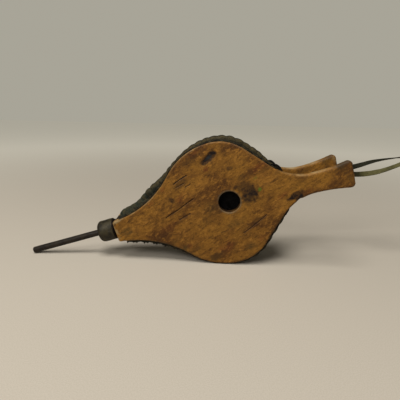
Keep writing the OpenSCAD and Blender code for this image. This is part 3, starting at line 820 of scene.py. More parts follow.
# the boards: old oiled wood with checks, stains and rubbed edges
boardShape = {
    "edgeRound": 1.8,
    "gripRound": 4.0,
    "gripFrom": 265.0,
    "gripBlend": 35.0,
    "voxel": 1.2,
    # each hole: along, across, width, how far its rim is broken and how deep
    "intake": (181.5, 3.5, 32.0, 0.7, 0.8),
    "thongHole": (346.0, -3.0, 9.4, 0.8, 0.9),
    "screwHoles": [(14.0, 0.0, 8.4, 0.5, 0.6), (32.0, 0.0, 8.4, 0.5, 0.6)],
}
frontMarks = {
    # each check: its line, width and depth
    "checks": [
        ([(83.4, 2.7), (93, 6.8), (105.1, 10.6), (118, 16.2), (131.2, 21.1)], 0.75, 1.2),
        ([(102.2, -5.3), (111, -2.2), (120.9, 0.3)], 0.8, 1.0),
        ([(190.8, -49), (203.9, -42.9), (216, -36.6), (229.9, -29)], 0.7, 0.9),
        ([(109.7, 49.8), (120, 54.4), (131.6, 57.6)], 0.9, 0.7),
        ([(111.8, 44.3), (124.6, 47.7)], 0.8, 0.7),
        ([(124.8, 41.8), (133, 43.5)], 0.7, 0.6),
        ([(157.7, -40.6), (170.1, -38.5)], 0.5, 0.4),
    ],
    # each spot from here on: along, across, half length, half width, strength
    "stains": [
        (214, 9, 14, 13, 0.95), (207, 21, 11, 8, 0.75), (195.7, 22.8, 5, 4, 0.85), (208, 34.5, 9, 4, 0.5),
        (100, 27, 4.5, 6, 0.8), (118, 48, 15, 6, 0.55), (141, 78, 15, 5, 0.45), (136, 75, 10, 3, 0.5),
        (194.6, 52, 5, 3.5, 0.55), (162.4, 52.4, 7, 2.5, 0.3), (142, -76, 14, 6, 0.6),
        (116, -58, 10, 4, 0.45),
        (274, -11, 13, 4.5, 1.0), (281, -14.5, 7, 4, 1.0), (208, -40, 22, 4, 0.4), (216, -33, 12, 3, 0.45),
        (106, 11, 28, 3, 0.25), (245, 40, 12, 4, 0.4), (160, 93, 14, 3, 0.3), (140.6, -44, 5, 2, 0.5),
        (283, 5, 16, 3, 0.2), (70, -24, 20, 4, 0.25), (165, -60, 6, 1.8, 0.5), (150, -14, 18, 9, 0.22),
    ],
    "gouges": [(162.2, 70.2, 7.0, 4.8, 1.0), (174.2, 77.2, 6.8, 5.2, 1.0), (168, 73.6, 8.0, 4.8, 1.0)],
    "bruises": [(168.6, 74.2, 6.0, 2.8, 0.9)],
    "moss": [(228.6, 11.2, 3.4, 3.2, 0.7), (226, 29, 3.0, 1.4, 0.3)],
    "chips": [(279, -15.5, 7.5, 1.6)],      # each chip: along, across, width and depth
    "pale": [(5, 16, 8, 2.4, 0.9), (14, 16.8, 6, 1.4, 0.7), (0, 6, 2.2, 12, 0.7), (2, -12, 5, 3, 0.5)],
    "gold": [
        (242, 22, 20, 11, 0.8), (251, -20, 14, 15, 0.7), (144, 40, 24, 12, 0.5), (212, 66, 20, 8, 0.45),
        (41, 2, 26, 9, 0.45), (128, 0, 20, 5, 0.3), (205, -68, 16, 6, 0.4), (320, -2, 30, 6, 0.3),
    ],
    "red": [
        (157, -66, 20, 9, 0.6), (82, -13, 20, 9, 0.2), (116, 28, 12, 6, 0.45), (92, 47, 5, 4, 0.95),
        (106, -50, 6, 4, 0.7), (161, 59.5, 5, 4, 0.75), (216, -63, 10, 6, 0.4), (236, 43, 14, 7, 0.6),
        (258, -6, 12, 4, 0.5), (295, -9, 12, 4, 0.4), (150, 86, 10, 4, 0.4), (68, 30, 8, 3, 0.5),
    ],
    "grime": [
        (18, -4, 12, 8, 0.55), (85, -38, 14, 5, 0.6), (97, -53, 12, 5, 0.6), (141, -77, 18, 7, 0.6),
        (198, -73, 10, 8, 0.55), (213, 4, 14, 12, 0.5), (155, 3, 13, 14, 0.35), (345, 17, 16, 6, 0.6),
        (352, -2, 5, 14, 0.35), (182, -30, 20, 8, 0.3), (260, 30, 12, 3, 0.4),
    ],
}
backMarks = {
    "checks": [
        ([(120, -30), (150, -19), (182, -6)], 0.7, 1.0),
        ([(205, 35), (228, 44)], 0.7, 0.8),
        ([(70, 12), (96, 21)], 0.6, 0.7),
    ],
    "stains": [
        (170, -52, 24, 12, 0.5), (130, 38, 20, 8, 0.45), (226, 12, 16, 9, 0.5), (60, -8, 18, 6, 0.4),
        (300, 4, 20, 5, 0.35), (345, -3, 10, 8, 0.5), (205, -20, 20, 4, 0.35), (150, 78, 16, 6, 0.5),
        (182, 30, 9, 6, 0.55), (112, -50, 8, 5, 0.5),
    ],
    "gouges": [],
    "bruises": [],
    "moss": [],
    "chips": [(240, 50.5, 6, 1.2)],
    "pale": [(3, -14, 7, 2.4, 0.8), (1, 5, 2, 10, 0.6), (356, 12, 3, 8, 0.5)],
    "gold": [(150, 10, 30, 14, 0.5), (235, -18, 20, 12, 0.6), (60, 8, 26, 8, 0.45), (315, 3, 26, 6, 0.4)],
    "red": [(190, 62, 18, 8, 0.6), (95, -30, 16, 7, 0.55), (210, -58, 12, 7, 0.55), (265, 12, 12, 5, 0.5)],
    "grime": [
        (14, 0, 10, 10, 0.5), (34, 2, 9, 9, 0.5), (160, -82, 22, 7, 0.6), (120, 62, 16, 6, 0.5),
        (346, 14, 14, 6, 0.5),
    ],
}
# how far the edges are rubbed pale or grimed dark, along the upper and the lower outline
edgeWear = {
    "upperPale": (
        [0, 8, 60, 100, 140, 170, 215, 240, 268, 285, 322, 335, 360],
        [0.9, 0.6, 0.4, 0.15, 0.35, 0.1, 0.3, 0.1, 0.2, 0.8, 0.6, 0.1, 0.1],
    ),
    "lowerPale": (
        [0, 8, 60, 110, 200, 268, 290, 345, 360],
        [0.7, 0.5, 0.35, 0.1, 0.05, 0.05, 0.45, 0.45, 0.2],
    ),
    "upperDark": (
        [0, 240, 262, 275, 330, 345, 360],
        [0.05, 0.1, 0.35, 0.05, 0.1, 0.7, 0.8],
    ),
    "lowerDark": (
        [0, 60, 85, 150, 200, 262, 278, 300, 360],
        [0.1, 0.15, 0.5, 0.55, 0.5, 0.4, 0.9, 0.1, 0.2],
    ),
}
weathering = {
    "broadSize": 14.0,          # sizes of the lumps that make every mark uneven
    "raggedSize": 4.5,
    "warp": 0.10,
    "warpSize": 22.0,
    "rimWide": 5.0,
    "rimRough": 0.16,
    "faceDeep": 1.0,            # what counts as the shown face
    "checkReach": 1.6,          # width beside a check that gets finer faces
    "gougeDeep": 0.5,
    "wornEdge": (0.5, 2.2),
    "grimedEdge": (0.6, 4.0),
    "ashRing": (0.9, 0.65),     # distance from the intake's wall, and strength
}


def roundAt(x):
    gripFrom = boardShape["gripFrom"]
    share = easeIn(np.asarray(x, float), gripFrom, gripFrom + boardShape["gripBlend"])
    return boardShape["edgeRound"] + (boardShape["gripRound"] - boardShape["edgeRound"]) * share


def boardBlank(name, nearFace):
    clearSelection()
    bpy.ops.mesh.primitive_circle_add(vertices=len(boardLine), radius=100, fill_type="NGON")
    blank = bpy.context.object
    blank.name = name
    for vertex, place in zip(blank.data.vertices, boardLine):
        vertex.co = (place[0], nearFace, place[1])
    setMode("EDIT")
    bpy.ops.mesh.select_all(action="SELECT")
    bpy.ops.mesh.extrude_region_move(TRANSFORM_OT_translate={"value": (0, drawing["boardThick"], 0)})
    setMode("OBJECT")
    faceOut(blank)
    weights = blank.data.attributes.new("bevel_weight_edge", "FLOAT", "EDGE")
    for edge in blank.data.edges:
        a, b = (blank.data.vertices[i].co for i in edge.vertices)
        if abs(a.y - b.y) < 0.1:
            weights.data[edge.index].value = float(roundAt((a.x + b.x) / 2)) / boardShape["gripRound"]
    rounding = {"width": boardShape["gripRound"], "segments": 4, "use_clamp_overlap": False}
    useModifier(blank, "BEVEL", limit_method="WEIGHT", **rounding)
    return blank


# a drill with a flared end, so that the rim of the hole is broken
def drill(blank, nearFace, along, across, wide, flare, flareDepth):
    long = 40
    past = 5
    clearSelection()
    bpy.ops.mesh.primitive_cylinder_add(vertices=64, radius=wide / 2, depth=long, location=(0, 0, 0))
    bit = bpy.context.object
    setMode("EDIT")
    bpy.ops.mesh.select_all(action="DESELECT")
    setMode("OBJECT")
    for face in bit.data.polygons:
        face.select = face.normal.z > 0.9
    setMode("EDIT")
    bpy.ops.transform.translate(value=(0, 0, -long / 2 - flareDepth))
    bpy.ops.mesh.extrude_region_move(TRANSFORM_OT_translate={"value": (0, 0, flareDepth)})
    wider = (wide + 2 * flare) / wide
    bpy.ops.transform.resize(value=(wider, wider, 1), center_override=(0, 0, 0))
    bpy.ops.mesh.extrude_region_move(TRANSFORM_OT_translate={"value": (0, 0, past)})
    setMode("OBJECT")
    turn = math.radians(90 if nearFace < 0 else -90)
    setDown(bit, Matrix.Translation((along, nearFace, across)) @ Matrix.Rotation(turn, 4, "X"))
    useModifier(blank, "BOOLEAN", operation="DIFFERENCE", object=bit, solver="EXACT")
    bpy.data.objects.remove(bit)


def grainFrame(places, along, across):
    turn = math.radians(woodLook["grainTurn"])
    gap = places - np.array((along, across))
    return (
        gap[:, 0] * math.cos(turn) + gap[:, 1] * math.sin(turn),
        gap[:, 1] * math.cos(turn) - gap[:, 0] * math.sin(turn),
    )


def spotShares(flat, ragged, spots, soft=0.55):
    shares = []
    for along, across, halfLong, halfWide, strength in spots:
        u, v = grainFrame(flat, along, across)
        far = np.hypot(u / halfLong, v / halfWide) + ragged
        shares.append(strength * (1 - easeIn(far, soft, 1.25)))
    return np.array(shares).reshape(-1, len(flat))


def strongest(shares):
    return shares.max(axis=0, initial=0)


def edgeShare(flat, kind):
    upper = np.interp(flat[:, 0], *edgeWear["upper" + kind])
    lower = np.interp(flat[:, 0], *edgeWear["lower" + kind])
    return np.where(flat[:, 1] > 0, upper, lower)


# finer faces where checks are cut
def fineFaces(board, checks, shownFace):
    places = points(board)
    near = np.zeros(len(places), bool)
    for line, wide, deep in checks:
        near |= distanceTo(places[:, [0, 2]], np.array(line, float)) < weathering["checkReach"]
    near &= np.abs(places[:, 1] - shownFace) < weathering["faceDeep"]
    pick(board)
    setMode("EDIT")
    bpy.ops.mesh.select_mode(type="VERT")
    bpy.ops.mesh.select_all(action="DESELECT")
    setMode("OBJECT")
    board.data.vertices.foreach_set("select", near)
    setMode("EDIT")
    bpy.ops.mesh.select_mode(type="FACE")
    bpy.ops.mesh.subdivide(number_cuts=2)
    bpy.ops.mesh.select_mode(type="VERT")
    setMode("OBJECT")


# cuts the marks into the board's mesh and paints them for its finish
def weather(board, marks, shownFace):
    fineFaces(board, marks["checks"], shownFace)
    places = points(board)
    flat = places[:, [0, 2]]
    inward = -normalsOf(board)
    onFace = np.abs(places[:, 1] - shownFace) < weathering["faceDeep"]
    fromEdge = distanceTo(flat, np.concatenate([boardLine, boardLine[:1]]))
    rim = np.clip(1 - fromEdge / weathering["rimWide"], 0, 1)
    broad = lump(places, weathering["broadSize"], 2.0)
    ragged = lump(places, weathering["raggedSize"], 5.0) * 0.45 + broad * 0.35
    uneven = np.clip(0.7 + 1.2 * broad + 0.8 * ragged, 0, 1.2)
    rimLumps = lump(places, 5.0, 3.0) + 0.4 * lump(places, 2.2, 4.0)
    cut = weathering["warp"] * lump(places, weathering["warpSize"], 9.0)
    cut += weathering["rimRough"] * rim * rimLumps
    dark = strongest(spotShares(flat, ragged, marks["stains"]))
    for line, wide, deep in marks["checks"]:
        far = distanceTo(flat, np.array(line, float)) + 0.25 * ragged
        groove = (1 - easeIn(far, wide * 0.3, wide * 1.25)) * onFace
        cut += deep * groove
        dark = np.maximum(dark, 0.95 * groove)
    for share in spotShares(flat, 0.35 * ragged, marks["gouges"], 0.7) * onFace:
        cut += weathering["gougeDeep"] * share
        dark = np.maximum(dark, share)
    for along, across, wide, deep in marks["chips"]:
        far = np.hypot(flat[:, 0] - along, flat[:, 1] - across) / wide + 0.5 * ragged
        share = (1 - easeIn(far, 0.4, 1.1)) * rim
        cut += deep * share
        dark = np.maximum(dark, share)
    bruised = strongest(spotShares(flat, 0.4 * ragged, marks["bruises"], 0.4) * onFace)
    moss = strongest(spotShares(flat, ragged, marks["moss"]))
    tints = [strongest(spotShares(flat, ragged, marks[name], 0.2)) for name in ("gold", "red", "grime")]
    worn = edgeShare(flat, "Pale") * (1 - easeIn(fromEdge, *weathering["wornEdge"])) * uneven
    worn = np.maximum(worn, strongest(spotShares(flat, 1.4 * ragged, marks["pale"], 0.3)))
    grimed = edgeShare(flat, "Dark") * (1 - easeIn(fromEdge, *weathering["grimedEdge"])) * uneven
    dark = np.maximum(dark, grimed)
    ash = np.zeros(len(places))
    if shownFace < 0:
        # the front board's intake: a ring of ash round it, and its wall painted dark as shade
        along, across, wide = boardShape["intake"][:3]
        beyond = np.hypot(flat[:, 0] - along, flat[:, 1] - across) - wide / 2
        nearFace = places[:, 1] < shownFace + weathering["faceDeep"]
        ringOut, strength = weathering["ashRing"]
        ashy = np.clip(0.8 + broad + 0.6 * ragged, 0, 1) * nearFace
        ash = strength * (1 - easeIn(np.abs(beyond - ringOut), 0.5, 2.0)) * ashy
        # painted shade on the intake's wall below the shown face
        dark = np.where((beyond < 0.5) & ~nearFace, 1.0, dark)
        worn = np.where(beyond < 2.0, 0.0, worn)
    setPoints(board, places + inward * cut[:, None])
    paint(board, "boardMarks", np.clip(np.stack([dark, worn, bruised, moss], axis=1), 0, 1))
    paint(board, "boardTints", np.clip(np.stack([*tints, ash], axis=1), 0, 1))


def makeBoard(body, nearFace, shownFace, where, marks, holes):
    board = boardBlank(body + "Board", nearFace)
    for hole in holes:
        drill(board, shownFace, *hole)
    remeshed(board, boardShape["voxel"])
    weather(board, marks, shownFace)
    setDown(board, where)
    smoothShade(board, 60)
    finish(board, boardWood, "board_wood", body, body + "_board")
    return board


frontBoard = makeBoard("front", -outerFace, -outerFace, onFront, frontMarks, [boardShape["intake"]])
backHoles = [boardShape["thongHole"], *boardShape["screwHoles"]]
backBoard = makeBoard("back", innerFace, outerFace, onBack, backMarks, backHoles)
print("boards", len(frontBoard.data.polygons), len(backBoard.data.polygons), "faces")


# the skirt: leather folded in between the boards and lifted over the wire hoop, in two panels
skirt = {
    "thick": 1.2,
    "columns": 620,
    "steps": (3, 7, 8, 7),          # rows from board to valley, slope and ridge
    "ridgeOut": 2.0,
    "hoopLift": 2.6,
    "hoopSlide": 4.0,
    "hoopFace": 3.0,
    "skinOut": 1.05,
    "lap": 1.9,
    "lapEnd": 0.9,
    "flange": 5.0,
    "turnRound": 14.0,
    "foldDepth": 8.0,
    "foldFrom": (47.0, 82.0),       # the folds deepen over this stretch behind the nose
    "bulge": 6.0,
    "bulgeFrom": (4.0, 18.0),       # beside the nose the leather bulges, over this stretch
    "bulgeTo": (128.0, 72.0),
    "foldBulge": 0.6,
    "foldBulgeFrom": (42.0, 70.0),
    "ridgeCrossing": 34.0,          # lengths over which the skirt turns across the handles
    "edgeCrossing": 14.0,
    "puckerPitch": 12.0,
    "puckerHigh": 0.62,
    "gatherHigh": 0.45,
    "gatherPitch": 5.2,
    "crinkleHigh": 0.75,
    "crinklePitch": 2.7,
    "leafReach": 13.0,
    "takenUp": 1.03,                # share of length that the gathers take up
}


def makeSkirtLine():
    end = nailedLine[-1]
    normal = outwardAt(nailedLine, nailedLengths, np.array([nailedRun]), 1.0)[0]
    middle = end - skirt["turnRound"] * normal
    turn = compassArc(middle, skirt["turnRound"], math.atan2(normal[1], normal[0]), 0, 5)[1:]
    half = np.concatenate([nailedLine, turn])
    return np.concatenate([half, mirrored(half)])


skirtLine = makeSkirtLine()
skirtLengths = lineLengths(skirtLine)
skirtRun = skirtLengths[-1]


def gapAt(x):
    return drawing["noseGap"] + (x - drawing["hinge"][0]) * math.tan(math.radians(drawing["wedge"]))


def foldAt(x):
    return easeIn(x, *skirt["foldFrom"])


def bulgeAt(x):
    beside = easeIn(x, *skirt["bulgeFrom"]) * easeIn(x, *skirt["bulgeTo"])
    return beside * (1 + skirt["foldBulge"] * easeIn(x, *skirt["foldBulgeFrom"]))


def crossingAt(d, width):
    return easeIn(np.minimum(d, skirtRun - d), nailedRun - width, nailedRun)


def ridgeAt(p, n, d):
    lifted = skirt["ridgeOut"] + n[:, 0] * skirt["hoopSlide"] + n[:, 1] * skirt["hoopLift"]
    hooped = lifted + (skirt["ridgeOut"] - lifted) * crossingAt(d, skirt["ridgeCrossing"])
    plain = skirt["skinOut"] + skirt["thick"] / 2
    return plain + (hooped - plain) * foldAt(p[:, 0]) + skirt["bulge"] * bulgeAt(p[:, 0])


def openedPlaces(x, y, z, angle):
    turn = np.radians(angle)
    dx = x - drawing["hinge"][0]
    dy = y - drawing["hinge"][1]
    return np.stack(
        [
            drawing["hinge"][0] + dx * np.cos(turn) + dy * np.sin(turn),
            drawing["hinge"][1] - dx * np.sin(turn) + dy * np.cos(turn),
            z,
        ],
        axis=-1,
    )


# faces of a sheet of two layers, closed round its edge
def sheetFaces(rows, columns):
    faces = []
    for layer in (0, 1):
        for j in range(rows - 1):
            for i in range(columns - 1):
                a = (layer * rows + j) * columns + i
                faces.append((a, a + 1, a + columns + 1, a + columns))
    inner = rows * columns
    edge = list(range(columns))
    edge += [j * columns + columns - 1 for j in range(1, rows)]
    edge += [(rows - 1) * columns + j for j in range(columns - 2, -1, -1)]
    edge += [j * columns for j in range(rows - 2, 0, -1)]
    for a, b in zip(edge, edge[1:] + edge[:1]):
        faces.append((a, b, b + inner, a + inner))
    return faces


# puckers along the ridge, uneven as hand gathers are
def puckerWave(d):
    pitch = skirtRun / round(skirtRun / skirt["puckerPitch"])
    drift = np.array([lumpAt(v / 60, 3.1, 0) for v in d])
    return 2 * np.sqrt(np.cos(math.pi * d / pitch + 1.6 * drift) ** 2 + 0.012) - 1.1


# the section from the board's edge over the valley to the ridge: how far across, and how far out
def skirtSection(d, p, n, half, wave):
    folded = foldAt(p[:, 0])
    bulge = bulgeAt(p[:, 0])
    crossing = crossingAt(d, skirt["edgeCrossing"])
    uneven = np.array([0.75 + 1.1 * lumpAt(v / 25, 8.2, 0) for v in d])
    pucker = skirt["puckerHigh"] * wave * uneven * np.maximum(folded, 0.8 * bulge)
    ridge = ridgeAt(p, n, d) + pucker
    skin = skirt["skinOut"]
    swell = skirt["bulge"] * bulge / 2
    valley = skin + swell + (-skirt["foldDepth"] - skin - swell) * folded
    lapped = -skirt["lap"] + (skirt["lapEnd"] + skirt["lap"]) * crossing
    stops = [
        (lapped, skin + skirt["flange"] * crossing**2),
        (np.full_like(d, 1.2), skin + (0.6 - skin) * folded),
        (half * 0.3, valley),
        (half * 0.62, ridge - 1.2 * folded),
        (half, ridge),
    ]
    levelAtRidge = np.array((1.0, 0.0))
    return roundedLine(np.array([np.stack(stop, axis=-1) for stop in stops]), skirt["steps"], levelAtRidge)


# what is rubbed or greenish on a panel, with painted shade in the fold, beside the board and behind the
# ridge, and painted highlight on the bulging crests, by its share of the way to the ridge
def skirtMarksAndShade(share, folded, bulge, wave, gather):
    slope = easeIn(share, 0.6, 0.68) * (1 - 0.6 * easeIn(share, 0.74, 0.86))
    # rubbed pale towards the crest, brighter where puckers and gathers stand out: wear with painted highlight
    rubAndHighlight = folded * slope * np.clip(0.75 + 0.25 * wave + 0.5 * gather, 0, 1)
    flankRubAndHighlight = 0.7 * bulge * (1 - folded) * easeIn(share, 0.1, 0.3) * np.clip(0.5 + gather, 0, 1)
    # painted shade: dark in the fold's pocket and on the far side of the ridge
    shift = share + 0.06 * gather
    pocketShade = (0.55 + 0.35 * easeIn(shift, 0.3, 0.55)) * (1 - easeIn(shift, 0.56, 0.665)) * folded
    rim = 0.6 * easeIn(shift, 0.74, 0.84) * folded
    marks = np.zeros((2, *share.shape, 4))
    marks[..., 0] = np.maximum(rubAndHighlight, flankRubAndHighlight)
    # painted shade also in the gap beside the board
    marks[..., 1] = np.clip(pocketShade + rim + 0.6 * (1 - easeIn(share, 0.0, 0.12)), 0, 1)
    marks[..., 2] = 0.25 + 0.75 * np.maximum(bulge, 1 - folded)
    return marks


def lumpsOver(rowShare, rowScale, along, seed):
    return np.array([[lumpAt(v, share * rowScale, seed) for v in along] for share in rowShare])


def skirtPanel(name, front):
    d = np.linspace(0, skirtRun, skirt["columns"] + 1)
    p = alongLine(skirtLine, skirtLengths, d)
    n = outwardAt(skirtLine, skirtLengths, d, 3.0)
    half = gapAt(p[:, 0]) / 2
    folded = foldAt(p[:, 0])
    bulge = bulgeAt(p[:, 0])
    wave = puckerWave(d)
    section = skirtSection(d, p, n, half, wave)
    rows = len(section)
    rowShare = np.linspace(0, 1, rows)
    share = rowShare[:, None] * np.ones_like(d)[None, :]
    # gathers running across the strip, strongest between board and fold, and finer crinkles beside the nose
    side = 1.0 if front else -1.0
    gather = lumpsOver(rowShare, 1.6, d / skirt["gatherPitch"], 7 * side)
    crinkle = lumpsOver(rowShare, 2.4, d / skirt["crinklePitch"], 11 + 5 * side)
    away = np.sin(math.pi * np.clip(share * 0.94 + 0.04, 0, 1)) ** 0.7
    out = section[..., 1] + skirt["gatherHigh"] * gather * away
    out += skirt["crinkleHigh"] * crinkle * away * (0.25 + 0.75 * bulge)
    fan = section[..., 0] / (2 * half)
    fan = 1 - fan if front else fan
    x, z = (p[:, axis] + n[:, axis] * out for axis in (0, 1))
    middle = openedPlaces(x, innerFace - drawing["noseGap"] * fan, z, drawing["wedge"] * fan)
    alongWay = np.gradient(middle, axis=1)
    acrossWay = np.gradient(middle, axis=0)
    square = np.cross(acrossWay, alongWay)
    normal = square / np.linalg.norm(square, axis=-1, keepdims=True)
    outward = np.stack([n[:, 0], np.zeros_like(d), n[:, 1]], axis=-1)
    if np.sum(normal[-1] * outward) < 0:
        normal = -normal
    layers = np.concatenate([middle + normal * skirt["thick"] / 2, middle - normal * skirt["thick"] / 2])
    panel = meshFrom(name, layers.reshape(-1, 3), sheetFaces(rows, len(d)))
    faceOut(panel)
    paint(panel, "leatherMarksAndShade", skirtMarksAndShade(share, folded, bulge, wave, gather).reshape(-1, 4))
    area = np.sum(np.linalg.norm(square, axis=-1)) / 1e6
    wide = np.max(np.sum(np.linalg.norm(np.diff(middle, axis=0), axis=-1), axis=0)) / 1000
    setDown(panel, onBack)
    pick(panel)
    bpy.ops.object.shade_smooth()
    return panel, area, wide


for panelName, node, front, bodies, nearFace, turn in (
    ("skirtBack", "skirt_back_panel", False, ("back", "hoop"), innerFace, drawing["wedge"] / 4),
    ("skirtFront", "skirt_front_panel", True, ("hoop", "front"), skirt["hoopFace"], drawing["wedge"] * 0.75),
):
    panel, area, wide = skirtPanel(panelName, front)
    finish(panel, skirtLeather, "leather", None, node)
    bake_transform(panel)


# welts: leather strips nailed over the skirt's edge, with their tacks
welt = {
    "thick": 1.7,
    "margin": 1.7,
    "step": 0.9,
    # across the strip: share of its width, and share of its height there
    "crown": [
        (0, 0.55), (0.05, 0.86), (0.2, 1.0), (0.4, 1.0),
        (0.6, 1.0), (0.8, 1.0), (0.95, 0.86), (1, 0.55),
    ],
    "clear": 0.08,                  # room under the strip's crown, and under its flat side
    "underClear": 0.03,
    "bulge": 0.45,                  # how far the strip swells between its tacks
    "bulgeFrom": (1.0, 8.5),        # from a tack to the full swell
    "edgeSpread": 0.3,
    "edgeRagged": 0.25,
    "raggedSize": 6.0,
    "ripple": 0.22,
    "rippleSize": 3.4,
    "ruffle": 1.8,                  # gathers beside the nose
    "rufflePitch": 4.8,
    "ruffleFrom": (4.0, 14.0),
    "ruffleTo": (72.0, 112.0),
    # what the lower side adds to the thickness: more beside nose and handle, less on the floor
    "lower": ([0, 70, 112, 130, 180, 200, 228, 290], [2.3, 2.3, 0.2, -0.6, -0.6, 0.4, 1.9, 1.6]),
    "tackEdge": 5.0,
    "tackPitch": 17.0,
    "headFree": (2.4, 6.0),         # the strip is pressed down at a tack's head and free this far from it
    "headPress": 0.75,
    "headSink": 0.1,
}
# a tack's shank and head: height and radius
tackProfile = [
    (-5.0, 0.8), (-0.75, 0.8), (-0.7, 2.35), (-0.5, 2.5),
    (-0.18, 2.1), (0.06, 1.3), (0.14, 0.5), (0.15, 1e-4),
]
tackSpaces = math.ceil((nailedRun - 2 * welt["tackEdge"]) / welt["tackPitch"])
tackPlaces = welt["tackEdge"] + np.arange(tackSpaces + 1) * (nailedRun - 2 * welt["tackEdge"]) / tackSpaces


def weltStand(d, side):
    return welt["thick"] + np.interp(d, *welt["lower"]) * (side < 0)


def ruffleAt(d, seed):
    drift = np.array([lumpAt(v / 11, seed, 2) for v in d])
    turns = 2 * math.pi * d / welt["rufflePitch"] + 2.5 * drift
    waves = (0.5 + 0.5 * np.cos(turns)) ** 1.5 * (1 + 0.5 * drift)
    return welt["ruffle"] * waves * (1 - easeIn(d, *welt["ruffleTo"])) * easeIn(d, *welt["ruffleFrom"])


def weltStrip(name, low, high, side, seed):
    d = np.linspace(0, nailedRun, int(nailedRun / welt["step"]) + 1)
    p = alongLine(nailedLine, nailedLengths, d)
    n = outwardAt(nailedLine, nailedLengths, d, 1.0)
    toTack = np.min(np.abs(d[:, None] - tackPlaces[None, :]), axis=1)
    spread = easeIn(toTack, *welt["bulgeFrom"])
    swell = welt["bulge"] * spread + ruffleAt(d, seed)
    stand = weltStand(d, side)
    middle = (low + high) / 2
    clear = welt["clear"]
    rings = []
    for k in range(len(d)):
        wander = d[k] / welt["raggedSize"]
        lowEdge = low - welt["edgeSpread"] * spread[k] + welt["edgeRagged"] * lumpAt(wander, seed, 0)
        highEdge = high + welt["edgeSpread"] * spread[k] + welt["edgeRagged"] * lumpAt(wander, seed, 4)
        section = []
        for share, crown in welt["crown"]:
            y = lowEdge + (highEdge - lowEdge) * share
            free = float(easeIn(math.hypot(toTack[k], y - middle), *welt["headFree"]))
            ripple = welt["ripple"] * lumpAt(d[k] / welt["rippleSize"], y / welt["rippleSize"], seed)
            rise = stand[k] - clear + ripple + swell[k] * free
            section.append((y, clear + rise * crown - welt["headPress"] * (1 - free)))
        section += [(y, welt["underClear"]) for y in (highEdge, middle, lowEdge)]
        rings.append([(p[k][0] + n[k][0] * out, y, side * (p[k][1] + n[k][1] * out)) for y, out in section])
    return ringMesh(name, rings)


def nailWelt(boardName, low, high, body, where, nodes):
    strips = [weltStrip(boardName + "Welt", low, high, side, 5.0 * side + low) for side in (1, -1)]
    strip = joined(boardName + "Welt", strips)
    worn = lump(points(strip), 7.0, 1.0)
    marks = np.zeros((len(worn), 4))
    marks[:, 0] = np.clip(0.35 + 0.8 * worn, 0, 1) * 0.5
    marks[:, 1] = np.clip(0.55 - 0.8 * worn, 0, 1)
    marks[:, 2] = 0.4
    paint(strip, "leatherMarksAndShade", marks)
    setDown(strip, where)
    smoothShade(strip, 70)
    finish(strip, skirtLeather, "leather", body, nodes[0])
    pattern = turned("tack", tackProfile, 12)
    tacks = []
    for side in (1, -1):
        for d in tackPlaces:
            p = alongLine(nailedLine, nailedLengths, np.array([d]))[0]
            n = outwardAt(nailedLine, nailedLengths, np.array([d]), 0.5)[0]
            out = Vector((n[0], random.uniform(-0.08, 0.08), side * n[1])).normalized()
            sunk = weltStand(d, side) - welt["headSink"]
            place = Vector((p[0], (low + high) / 2, side * p[1])) + out * sunk
            tack = ownCopy(pattern, boardName + "Tack")
            turn = out.to_track_quat("Z", "Y").to_matrix().to_4x4()
            spin = Matrix.Rotation(random.uniform(0, 6), 4, "Z")
            tack.matrix_world = Matrix.Translation(place) @ turn @ spin
            tacks.append(tack)
    bpy.data.objects.remove(pattern)
    pick(*tacks)
    bpy.ops.object.transform_apply(location=True, rotation=True, scale=True)
    row = joined(boardName + "Tacks", tacks)
    setDown(row, where)
    smoothShade(row, 40)
    finish(row, oldIron, "iron", body, nodes[1])


weltLow = innerFace + welt["margin"]
weltHigh = outerFace - welt["margin"]
nailWelt("back", weltLow, weltHigh, "back", onBack, ("back_welt", "back_tacks"))
nailWelt("front", -weltHigh, -weltLow, "front", onFront, ("front_welt", "front_tacks"))
print("welts nailed,", 2 * len(tackPlaces), "tacks a board")


# ferrule and nozzle, turned about the nozzle's line
nozzle = {
    "rise": 1.0,
    "ferruleFrom": 6.0,
    "ferruleLong": 25.0,
    "ferruleWide": 34.5,
    "ferruleWall": 1.5,
    "shoulder": 6.0,
    "shoulderSteps": 9,
    "worn": 0.1,            # how far the ferrule is worn down behind its rim
    "dents": (0.28, 0.10),  # heights of the broad and the small dents
    "seat": 9.4,
    "seatGap": 0.05,
    "tubeWide": 10.0,
    "tubeBore": 6.5,
    "tubeTip": 145.0,
    "tubeSteps": 56,
    "tubeDents": (0.11, 0.05),
    "socketEnd": 7.0,
}


def onNozzle(start):
    turn = Matrix.Rotation(math.radians(-90), 4, "Y")
    return onBack @ Matrix.Translation((-start, 0, nozzle["rise"])) @ turn


